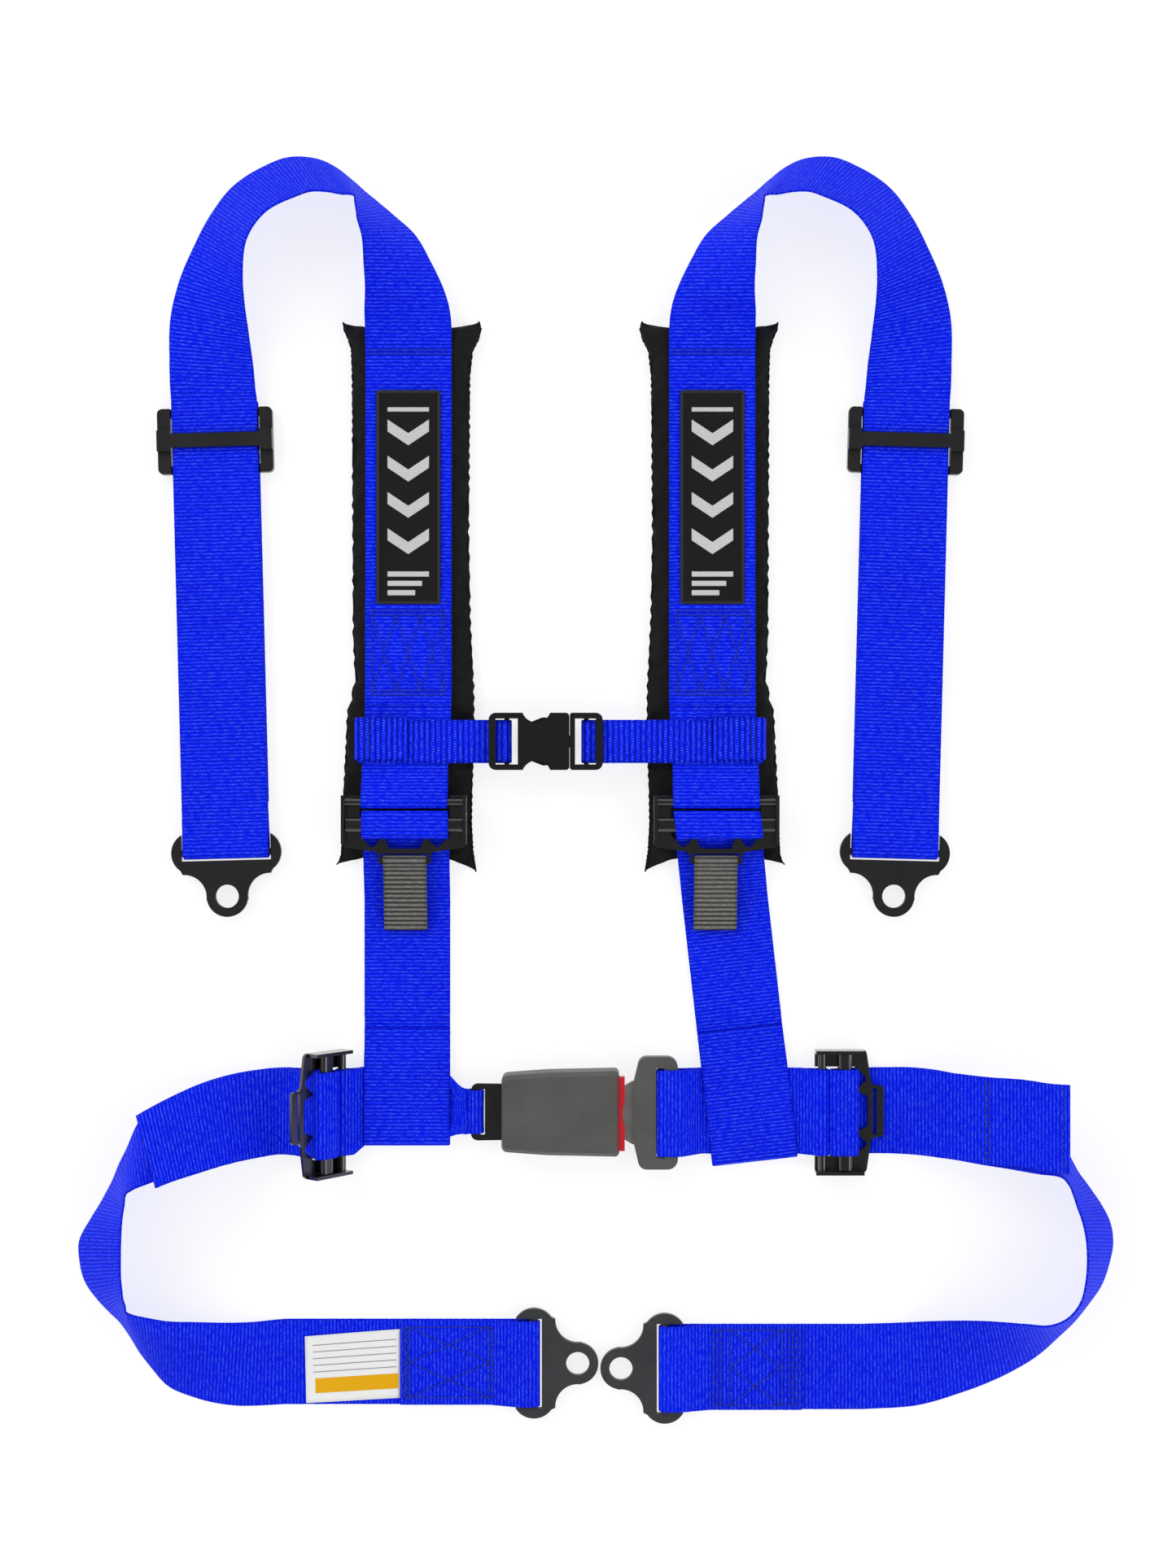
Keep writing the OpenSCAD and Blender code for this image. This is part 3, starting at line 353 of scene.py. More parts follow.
def mix_rgb(nt, fac, a, b, mode="MIX"):
    n = nd(nt, "ShaderNodeMix", data_type="RGBA", blend_type=mode)
    for i, v in ((0, fac), (6, a), (7, b)):
        if isinstance(v, (int, float)):
            n.inputs[i].default_value = v
        elif isinstance(v, tuple):
            n.inputs[i].default_value = (*v, 1)
        else:
            nt.links.new(v, n.inputs[i])
    return n.outputs[2]


def bump(nt, bsdf, height, distance, strength=1.0, under=None):
    b = nd(nt, "ShaderNodeBump")
    b.inputs["Distance"].default_value = distance
    b.inputs["Strength"].default_value = strength
    nt.links.new(height, b.inputs["Height"])
    if under:
        nt.links.new(under, b.inputs["Normal"])
    nt.links.new(b.outputs[0], bsdf.inputs["Normal"])
    return b.outputs[0]


def noise_tex(nt, vec, scale, detail=3.0, rough=.5):
    n = nd(nt, "ShaderNodeTexNoise")
    n.inputs["Scale"].default_value = scale
    n.inputs["Detail"].default_value = detail
    n.inputs["Roughness"].default_value = rough
    nt.links.new(vec, n.inputs["Vector"])
    return n.outputs[0]


def webbing(name, light, dark, glint, rib=2.1, yarn=1.15, rough=.55, depth=.00035, selvage=True, half=25.0,
            sheen=.0, spec=.04, flash=.8, plain=False):
    """Woven webbing: weft ribs across the strap with offset warp yarns over them; the rib crests are painted
    lighter as a painted highlight, the gaps between ribs darker as painted shade, with painted glints on the
    crests.
    """
    m, nt, p = new_mat(name)
    uv = nd(nt, "ShaderNodeUVMap", uv_map="UVMap")
    sep = nd(nt, "ShaderNodeSeparateXYZ")
    nt.links.new(uv.outputs[0], sep.inputs[0])
    u, v = sep.outputs[0], sep.outputs[1]
    wob = math_node(nt, "MULTIPLY", math_node(nt, "SUBTRACT", noise_tex(nt, uv.outputs[0], .35, 2), .5), .5)
    vv = math_node(nt, "DIVIDE", math_node(nt, "ADD", v, wob), rib)
    row = math_node(nt, "FLOOR", vv)
    ridge = math_node(nt, "ABSOLUTE", math_node(nt, "SINE", math_node(nt, "MULTIPLY", vv, math.pi)))
    shift = math_node(nt, "MULTIPLY", math_node(nt, "MODULO", row, 2.0), .5)
    uu = math_node(nt, "ADD", math_node(nt, "DIVIDE", u, yarn), shift)
    yarns = math_node(nt, "ABSOLUTE", math_node(nt, "SINE", math_node(nt, "MULTIPLY", uu, math.pi)))
    if plain:
        yarns = math_node(nt, "ADD", math_node(nt, "MULTIPLY", yarns, .12), .88)
    weave = math_node(nt, "MULTIPLY", math_node(nt, "POWER", ridge, .8),
                      math_node(nt, "ADD", math_node(nt, "MULTIPLY", yarns, .4), .6))
    geo = nd(nt, "ShaderNodeTexCoord")
    cloud = noise_tex(nt, geo.outputs["Object"], 22, 3)
    fibre = noise_tex(nt, uv.outputs[0], 3.1, 2)
    # painted highlight and shade: tone follows the rib relief, so crests take the light colour and the gaps
    # between ribs the dark one, plus random cloudy tone
    tone = math_node(nt, "SUBTRACT", math_node(nt, "ADD", math_node(nt, "MULTIPLY", weave, 1.25),
                     math_node(nt, "MULTIPLY", cloud, .5)), .36, True)
    col = mix_rgb(nt, tone, dark, light)
    # painted glints: short light flecks along the crests, in patches, standing in for highlights on the yarn
    stretch = nd(nt, "ShaderNodeMapping")
    stretch.inputs["Scale"].default_value = (.28, 1.1, 1)
    nt.links.new(uv.outputs[0], stretch.inputs[0])
    glint_noise = noise_tex(nt, stretch.outputs[0], 1.0, 3, .6)
    glint_patches = math_node(nt, "MULTIPLY", math_node(nt, "SUBTRACT", glint_noise, .44), 5.0, True)
    crest = math_node(nt, "POWER", math_node(nt, "MULTIPLY", ridge, yarns), 2.5)
    col = mix_rgb(nt, math_node(nt, "MULTIPLY", math_node(nt, "MULTIPLY", glint_patches, crest), flash), col, glint)
    nt.links.new(col, p.inputs["Base Color"])
    p.inputs["Roughness"].default_value = rough
    p.inputs["Sheen Weight"].default_value = sheen
    p.inputs["Sheen Roughness"].default_value = .4
    p.inputs["Sheen Tint"].default_value = (*glint, 1)
    p.inputs["Specular IOR Level"].default_value = spec
    height = math_node(nt, "ADD", weave, math_node(nt, "MULTIPLY", fibre, .2))
    if selvage:
        near = math_node(nt, "SUBTRACT", math_node(nt, "ABSOLUTE", u), half - 1.6, False)
        near = math_node(nt, "MULTIPLY", near, 4.0, True)
        cord = math_node(nt, "ABSOLUTE", math_node(nt, "SINE", math_node(nt, "MULTIPLY", v, math.pi / 1.05)))
        height = math_node(nt, "ADD", math_node(nt, "MULTIPLY", height, math_node(nt, "SUBTRACT", 1.0, near)),
                           math_node(nt, "MULTIPLY", near, cord))
    bump(nt, p, height, depth)
    return m


def cloth(name, base, scale=900, rough=.8, sheen=.12):
    m, nt, p = new_mat(name)
    geo = nd(nt, "ShaderNodeTexCoord")
    sep = nd(nt, "ShaderNodeSeparateXYZ")
    nt.links.new(geo.outputs["Object"], sep.inputs[0])
    threads = []
    for k in (0, 1):
        turn = math_node(nt, "MULTIPLY", sep.outputs[k], scale * math.pi)
        threads.append(math_node(nt, "ABSOLUTE", math_node(nt, "SINE", turn)))
    h = math_node(nt, "MULTIPLY", *threads)
    big = noise_tex(nt, geo.outputs["Object"], 30, 4)
    fine = noise_tex(nt, geo.outputs["Object"], 2500, 2)
    tone = math_node(nt, "ADD", math_node(nt, "MULTIPLY", big, .6), math_node(nt, "MULTIPLY", h, .4), True)
    nt.links.new(mix_rgb(nt, tone, tuple(c * .45 for c in base), tuple(min(1, c * 1.35) for c in base)),
                 p.inputs["Base Color"])
    p.inputs["Roughness"].default_value = rough
    p.inputs["Sheen Weight"].default_value = sheen
    p.inputs["Sheen Roughness"].default_value = .5
    p.inputs["Sheen Tint"].default_value = (.3, .3, .32, 1)
    p.inputs["Specular IOR Level"].default_value = .12
    hh = math_node(nt, "ADD", h, math_node(nt, "MULTIPLY", fine, .4))
    b = bump(nt, p, hh, .00012)
    wr = noise_tex(nt, geo.outputs["Object"], 55, 4, .55)
    b2 = nd(nt, "ShaderNodeBump")
    b2.inputs["Distance"].default_value = .0012
    nt.links.new(wr, b2.inputs["Height"])
    nt.links.new(b, b2.inputs["Normal"])
    nt.links.new(b2.outputs[0], p.inputs["Normal"])
    return m


def metal(name, base, rough=.35, metallic=.0, coat=.3, grain=.00004, scale=420, spec=.5):
    m, nt, p = new_mat(name)
    geo = nd(nt, "ShaderNodeTexCoord")
    a = noise_tex(nt, geo.outputs["Object"], scale, 3)
    b = noise_tex(nt, geo.outputs["Object"], 60, 4)
    nt.links.new(mix_rgb(nt, b, tuple(c * .8 for c in base), tuple(min(1, c * 1.2) for c in base)),
                 p.inputs["Base Color"])
    r = nd(nt, "ShaderNodeMapRange")
    r.inputs["To Min"].default_value = rough - .07
    r.inputs["To Max"].default_value = rough + .09
    nt.links.new(b, r.inputs["Value"])
    nt.links.new(r.outputs[0], p.inputs["Roughness"])
    p.inputs["Metallic"].default_value = metallic
    p.inputs["Coat Weight"].default_value = coat
    p.inputs["Coat Roughness"].default_value = .2
    p.inputs["Specular IOR Level"].default_value = spec
    bump(nt, p, a, grain)
    return m


def plastic(name, base, rough=.42, grain=.00005, scale=900, coat=0.0, mottle=.12):
    m, nt, p = new_mat(name)
    geo = nd(nt, "ShaderNodeTexCoord")
    vor = nd(nt, "ShaderNodeTexVoronoi")
    vor.inputs["Scale"].default_value = scale
    nt.links.new(geo.outputs["Object"], vor.inputs["Vector"])
    b = noise_tex(nt, geo.outputs["Object"], 45, 3)
    nt.links.new(mix_rgb(nt, b, tuple(c * (1 - mottle) for c in base), tuple(c * (1 + mottle) for c in base)),
                 p.inputs["Base Color"])
    p.inputs["Roughness"].default_value = rough
    p.inputs["Coat Weight"].default_value = coat
    p.inputs["Specular IOR Level"].default_value = .35
    bump(nt, p, vor.outputs[0], grain)
    return m


# webbing() colours, here and for every weave below: the first is the lit rib crest (painted highlight), the
# second the painted shade between the ribs, also used for darker random patches, the third the painted glint
# on the crests, also the sheen tint
BLUE, BLUE_D, BLUE_GLINT = (.001, .016, .98), (.0004, .003, .5), (.1, .24, 1.0)
m_web = webbing("webbing_blue", BLUE, BLUE_D, BLUE_GLINT)
m_chest = webbing("chest_webbing_blue", BLUE, (.0004, .001, .3), BLUE_GLINT, rib=3.2, yarn=1.5, half=12.5,
                  depth=.0005)
m_tab = webbing("tab_webbing_black", (.15, .147, .138), (.003, .003, .003), (.25, .245, .23), rib=2.7,
                yarn=1.6, half=12.5, depth=.0006, flash=.8, plain=True)
m_thread = plastic("thread_blue", (.006, .02, .3), .6, .00002)
m_thread_k = plastic("thread_black", (.012, .012, .013), .6, .00002)
m_pad = cloth("pad_cloth_black", (.0095, .009, .0095))
m_black = metal("black_coated_steel", (.004, .004, .0042), .2, coat=.8, spec=.5)
m_dark = metal("dark_coated_steel", (.012, .012, .013), .34, coat=.15, spec=.3)
m_grey = metal("grey_steel", (.045, .047, .05), .38, metallic=.3, coat=.1, spec=.3)
m_zinc = metal("zinc_steel", (.36, .36, .365), .4, metallic=.85, coat=0)
m_plastic = plastic("black_plastic", (.006, .006, .0065), .34)
m_grip = plastic("grey_plastic", (.078, .078, .075), .45, .0002, 1100, mottle=.3)
m_frame = metal("bracket_steel", (.012, .012, .0125), .32, coat=.2, spec=.35)
m_red = plastic("red_plastic", (.5, .012, .02), .38, .00003)
m_patch = cloth("patch_weave", (.01, .01, .0105), 1250, .8, .1)
m_mark = webbing("mark_thread", (.62, .62, .63), (.42, .42, .43), (.75, .75, .75), rib=.7, yarn=3.0,
                 selvage=False, depth=.00012)
m_label = webbing("label_weave", (.86, .86, .85), (.72, .72, .72), (.9, .9, .9), rib=.45, yarn=.45,
                  selvage=False, depth=.00004)
m_rule = webbing("label_rule", (.3, .3, .31), (.2, .2, .2), (.4, .4, .4), rib=.45, yarn=.45, selvage=False,
                 depth=.00004)
m_yellow = webbing("label_yellow", (.8, .42, .01), (.66, .32, .006), (.9, .5, .03), rib=.45, yarn=.45,
                   selvage=False, depth=.00004)


def paint(node, mat, bevel=.0004, segments=2):
    o = NODES[node]
    o.data.materials.clear()
    o.data.materials.append(mat)
    o.data.shade_smooth()
    o.data.set_sharp_from_angle(angle=math.radians(32))
    if bevel:
        b = o.modifiers.new("bevel", "BEVEL")
        b.width = bevel
        b.segments = segments
        b.limit_method = "ANGLE"
        b.angle_limit = math.radians(32)
        b.harden_normals = True
        b.use_clamp_overlap = True
    return o


# ------------------------------------------------------------------ shoulder belts
for side in ("left", "right"):
    mir = side == "right"
    half_body = side + "_half"
    ux = V((math.cos(LEAN), math.sin(LEAN), 0))
    uy = V((-math.sin(LEAN), math.cos(LEAN), 0))
    so = V((SLIDE[0], SLIDE[1], 0))
    # free end under the tail, fold round the slide's top bar, down, round the plate's bar and up on top
    path = [(-TAIL + 29, .7), (16.4, .7)] + arc((20.8, 2.8), 2.1, -90, 90) + [(16.4, 4.9), (-TAIL + 36, 4.9),
            (-TAIL + 6, .7)] + arc((-TAIL, 4.1), 3.4, 270, 90) + [(-TAIL + 30, 6.4), (19, 6.4), (24, 6.5)]
    tail = plane(path, so, uy, across=ux)
    loop = stations(LOOP, BELT, PAD_TOP)[2:]
    pad = plane([(254, 10.8), (117, 10.8), (105, 12.2), (58, 12.2), (49, 14.1)], (BELT, 0, 0), (0, 1, 0),
                across=(-1, 0, 0))[2:]
    main = Strap(tail + loop + pad, mirror=mir)
    main.build(side + "_shoulder_webbing", half_body, m_web,
               nodes=(side + "_shoulder_strap", side + "_shoulder_tail"), wave=.05, seed=1 + mir)
    # sewn block at the foot of the pad, and the seams where the doubled layer begins
    end = main.s[-1]
    items = seam(main, box_x(end - 57, end - 3, 23.5, rows=3))
    items += seam(main, [[(end - k, -23), (end - k, 23)] for k in (59, 203.5, 206)])
    stitch_mesh(side + "_pad_block_stitches", items, m_thread, half_body)
    # short strap round the adjuster's fixed bar
    over_chest = 12.7
    p = ([(104, 10.8), (58, 10.8), (48, over_chest), (8.5, over_chest)] + arc((-7.5, 16.7), 3.5, 90, 270)
         + [(-1.5, 13.2), (8, 11.1)])
    lean_in = []
    for c, u, w in plane(p, (BELT, 0, 0), (0, 1, 0)):
        f = min(1, max(0, (52 - c[1]) / 45))
        lean_in.append((c + V((-2 * f * f * (3 - 2 * f), 0, 0)), u, w))
    short = Strap(lean_in, mirror=mir)
    short.build(side + "_adjuster_webbing", half_body, m_web, nodes=(side + "_adjuster_strap",), seed=5 + mir)
    # lower strap: loop round the lap belt, up to the adjuster's floating bar and back down behind
    left = side == "left"
    y_top = LAP_Y + 4.5 + 21.5 if left else LAP_Y + 25
    y_link = LAP_Y + 4.5 - 21.5 if left else LAP_Y - 27.6
    lean = 0 if left else math.radians(6.5)
    x = BELT - 1.5 if left else 2 * MID - ADJ[0] + 1
    dy = -20.5
    fz = 5.0
    rr = fz / 2
    ring = arc((-16.3, 17.9), 3.5, -90, 90) + arc((-24.7, 17.9), 3.5, 90, 236)
    p = ([(y_top + 21.5, 2.2), (y_top + 13, 2.2), (y_top + 2, fz + .7)]
         + arc((y_link - .6, rr + .7), rr, 90, 270)
         + [(y_top + 20, .7), (y_top + 23, .75), (y_top + 29.5, 2.2), (-64, 2.2), (-46, 7.4), (-36, 8.9),
            (-30, 10.4), (-24, 13.0), (-20, 14.4)] + ring)
    o = V((x, dy, 0))
    al = V((-math.sin(lean), math.cos(lean), 0))
    ac = V((math.cos(lean), math.sin(lean), 0))
    line = plane([(a - dy, b) for a, b in p], o, al, across=ac, step=1.2)
    # the turn on the floating bar faces the adjuster squarely
    if not left:
        fixed = []
        for c, u, w in line:
            f = min(1, max(0, (c[1] + 60) / 35))
            uu = u.lerp(V((1, 0, 0)), f).normalized()
            fixed.append((c, uu, w))
        line = fixed
    low = Strap(line)
    tail_line = plane([(a - dy, b) for a, b in [(-26, 10.6), (-31, 8.4), (-36, 6.9), (-45, 5.9), (-62, .75),
                                                (y_top + 30.5, .75)]], o, al, across=ac)
    Strap(tail_line).build(side + "_lower_end_webbing", half_body, m_web, seed=20 + mir)
    low.build(side + "_lower_webbing", None, m_web, nodes=(side + "_lower_strap", side + "_shoulder_bight"),
              blend=(half_body, side + "_shoulder_lock", (x * S, -.046, 0), (x * S, -.029, 0)), seed=8 + mir)
    items = seam(low, [[(3.5, -23), (3.5, 23)], [(6.0, -23), (6.0, 23)]], up=1)
    stitch_mesh(side + "_lower_hem_stitches", items, m_thread, half_body)

# ------------------------------------------------------------------ lap belts
def band(points, y):
    return plane(points, (0, y, 0), (1, 0, 0), across=(0, 1, 0))


def left_lock(f, h):
    """A point in the left lap adjuster's tipped frame, forward and above its fixed bar, as (x, z)."""
    c, q = math.cos(math.radians(50)), math.sin(math.radians(50))
    return (-147 - (f * c - h * q), 8.4 + f * q + h * c)


def lap_row(points, y=LAP_Y):
    """Points (x, z) on the lap line, with the width running towards -Y."""
    return plane(points, (0, y, 0), (1, 0, 0), across=(0, -1, 0), step=1.0)


def cut(line, test):
    k = max(i for i, it in enumerate(line) if test(it[0]))
    return line[:k + 1], line[k:]


full = stations(LEFT_LAP, 0, BAND_Y)
keep, rest = cut(full, lambda c: c[1] < BAND_Y + 100 or c[0] < -195)
main = Strap(band([(-113.5, 2.2), (-61.5, 2.2), (-44.5, 7.5)] + arc((-35.5, 4.1), 3.4, 90, -90)
                  + [(-47.5, .7), (-172, .7)], BAND_Y) + keep)
main.build("left_lap_webbing", "left_half", m_web, nodes=("left_lap_strap",), seed=31)
items = seam(main, box_x(0, 57, 23, rows=2), up=-1) + seam(main, [[(4, -22), (4, 22)]], up=-1)
stitch_mesh("left_lap_block_stitches", items, m_thread, "left_half")
near_end = [(c, u, w) for c, u, w in rest if c[0] < -171]
turn = [(-164, 6.7), (-157, 9.2), (-152, 10.8), left_lock(5.3, -1)]
for c0, r0, a0, a1 in (((8.8, 1), 3.5, 180, 90), ((17.2, 1), 3.5, 90, -60)):
    turn += [left_lock(*q) for q in arc(c0, r0, a0, a1)]
turn += [left_lock(18.6, -4), left_lock(19.5, -9.7)]
tail = stations(LEFT_TAIL, 0, BAND_Y)
end = Strap(near_end + lap_row(turn)[1:-1] + tail)
end.build("left_lap_end_webbing", None, m_web, nodes=("left_lap_tail", "left_lap_bight"),
          blend=("left_half", "left_lap_lock", (-.185, LAP_Y * S, 0), (-.163, LAP_Y * S, 0)), seed=33)
q = end.s[-1]
items = seam(end, [[(q - k, -23), (q - k, 23)] for k in (3.5, 36, 38.5)])
stitch_mesh("left_lap_hem_stitches", items, m_thread, "left_half")

full = stations(RIGHT_LAP, 0, BAND_Y)
keep, rest = cut(full, lambda c: c[1] < BAND_Y + 100 or c[0] > 188)
y = BAND_Y - 3
main = Strap(band([(120.7, 2.2), (66.7, 2.2), (49.7, 7.5)] + arc((40.7, 4.1), 3.4, 90, 270)
                  + [(52.7, .7), (150, .7)], y) + keep)
main.build("right_lap_webbing", "right_half", m_web, nodes=("right_lap_strap",), seed=35)
lines = [[(0 + k, -22), (0 + k, 22)] for k in (2.5, 5.0, 7.5, 47, 49.5, 52)]
lines += [[(2.5, v0), (52, v0)] for v0 in (-22, 22)]
for k in range(2):
    lo, hi = -22 + 22 * k, 22 * k
    lines += [[(12, lo), (42, hi)], [(12, hi), (42, lo)]]
lines += [[(12, -22), (12, 22)], [(42, -22), (42, 22)]]
stitch_mesh("right_lap_block_stitches", seam(main, lines, up=1), m_thread, "right_half")
turn = [(166, .72), (156, .9), (148, 2.2), (143.6, 5.0)] + arc((140.0, 9.4), 3.8, 270, 90)
turn += arc((149.2, 9.4), 3.5, 90, -80)
turn += [(150.6, 4.2), (152, 3.1), (158, 2.6)]
near_end = [(c, u, w) for c, u, w in rest if c[0] > 174]
end = Strap(near_end + lap_row(turn)[1:-1] + stations(RIGHT_TAIL, 0, BAND_Y)[3:])
end.build("right_lap_end_webbing", None, m_web, nodes=("right_lap_tail", "right_lap_bight"),
          blend=("right_half", "right_lap_lock", (.178, LAP_Y * S, 0), (.156, LAP_Y * S, 0)), seed=37)
q = end.s[-1]
items = seam(end, [[(q - k, -23), (q - k, 23)] for k in (3.5, 47, 49.5)])
stitch_mesh("right_lap_hem_stitches", items, m_thread, "right_half")

# ------------------------------------------------------------------ lap links, round the buckle's bars
LOW, HIGH = 2.35, 3.85
p = ([(92, LOW), (62, LOW), (50, 4.9)] + arc((37.9, 6.6), 1.7, 270, 180) + arc((37.9, 13.2), 1.7, 180, 90)
     + [(50, 14.9), (62, HIGH), (118, HIGH)] + arc((132, 8.4), 3.9, 122, -90)
     + [(126, 4.9), (118, LOW), (109, LOW)])
link = Strap(lap_row(p))
link.build("right_link_webbing", "right_half", m_web, nodes=("right_lap_link",), seed=41)
p = ([(-123, LOW), (-135, LOW), (-141, 4.9)] + arc((-147, 8.4), 3.5, 270, 53)
     + [(-135, HIGH), (-83.25, HIGH), (-75.25, 11.5)] + arc((-68.75, 7.6), 3.9, 90, -90)
     + [(-83.25, LOW), (-107, LOW)])
line = []
for c, u, w in lap_row(p):
    f = min(1, max(0, (c[0] + 140) / 10))
    g = min(1, max(0, (c[0] + 92) / 17))
    g = g * g * (3 - 2 * g)
    line.append((c + V((0, 4.5 * f - 4.2 * g, 0)), u, 50 - 7 * f - 18 * g))
link = Strap(line)
link.build("left_link_webbing", "left_half", m_web, nodes=("left_lap_link",), seed=43, cup=.25)
# the edges folded in beside the bracket
for k, sg in enumerate((-1, 1)):
    fold = []
    for i in range(15):
        x = -104 + 30 * i / 14
        g = min(1, max(0, (x + 92) / 17))
        g = g * g * (3 - 2 * g)
        z = HIGH + max(0, (x + 83.25)) * .95 + 1.35
        w = 3.0 + 8.0 * g
        yc = LAP_Y + 4.5 - 4.2 * g + sg * ((43 - 18 * g) / 2 - w / 2)
        fold.append((V((x, yc, z)), V((0, -1, 0)), w))
    Strap(fold[6:]).build("left_link_fold_%d" % k, "left_half", m_web, seed=45 + k)

# ------------------------------------------------------------------ chest strap
for side in ("left", "right"):
    sx = 1 if side == "left" else -1
    wrap_x = -135.4 if side == "left" else 95.4
    bar_x = -51.0 if side == "left" else -5.0
    inner = wrap_x + sx * 54.4
    p = ([(inner, 11.0)] + arc((wrap_x, 12.7), 1.7, 270, 270 - sx * 180) + [(bar_x - sx * 8, 14.2)]
         + arc((bar_x, 11.8), 2.45, 90, 90 - sx * 180) + [(bar_x - sx * 18, 9.35)])
    st = Strap([(c, u, 25.0) for c, u, w in plane(p, (0, CHEST_Y, 0), (1, 0, 0), across=(0, 1, 0), step=.9)])
    st.build(side + "_chest_webbing", side + "_chest", m_chest, nodes=(side + "_chest_strap",), seed=51 + sx)
    # raw end folded over the wrap, sewn down and standing a little proud
    up = arc((wrap_x, 12.7), 3.2, 90 + sx * 75, 90) + [(wrap_x + sx * 6, 16.0), (wrap_x + sx * 20, 15.95),
                                                     (wrap_x + sx * 27, 16.5)]
    fl = Strap([(c + V((0, 1.6, 0)), u, 24.6) for c, u, w in
                plane(up, (0, CHEST_Y, 0), (1, 0, 0), across=(0, 1, 0), step=.9)])
    fl.build(side + "_chest_flap", side + "_chest", m_chest, seed=55 + sx)
    lines = [[(7 + k, -11), (7 + k, 11)] for k in (0, 2.2)]
    items = seam(fl, lines, pitch=2.4, up=-sx)
    stitch_mesh(side + "_chest_stitches", items, m_thread, side + "_chest", radius=.3)

# ------------------------------------------------------------------ pull tabs
for side in ("left", "right"):
    mir = side == "right"
    p = ([(-17, -.8), (-6, -.8)] + arc((0, 0), 3, -150, 150) + [(-6, .8), (-28, .9), (-40, .2)]
         + arc((-40.4, -.6), .8, 90, 270) + [(-39, -1.4), (-18, -.8)])
    dc, ds = math.cos(math.radians(10)), math.sin(math.radians(10))
    line = plane(p, (ADJ[0], -41.5, 13.0), (0, dc, ds), up=(0, -ds, dc), w=25.0, step=.8)
    tab = Strap(line, t=.95, mirror=mir)
    tab.build(side + "_tab_webbing", side + "_tab", m_tab, nodes=(side + "_pull_tab",), seed=61 + mir)

# ------------------------------------------------------------------ shoulder pads
# the pad's long edges: y, then the distance from its middle
EDGE_L = [(-46, -43), (-44, -43), (-42, -41.5), (-38, -40.2), (-30, -39.8), (-6, -39), (10, -38),
          (30, -37), (40, -36.6), (46, -36), (52, -34), (58, -33.2), (64, -31.6), (72, -32.2),
          (90, -33), (150, -33.2), (240, -33.6),
          (256, -34.2), (262, -36), (268, -38.6), (273, -39)]
EDGE_R = [(-49, 38.2), (-44, 37.4), (-36, 36.2), (-20, 35.3), (0, 35.6), (20, 36.4), (40, 36.8),
          (60, 36.5), (100, 34.5), (150, 33.6), (240, 34.3), (255, 36), (262, 39.5), (268, 41), (274, 39.6)]


def along_edge(table, y0):
    if y0 <= table[0][0]:
        return table[0][1]
    for a0, a1 in zip(table, table[1:]):
        if y0 <= a1[0]:
            f = (y0 - a0[0]) / (a1[0] - a0[0])
            return a0[1] + (a1[1] - a0[1]) * f
    return table[-1][1]


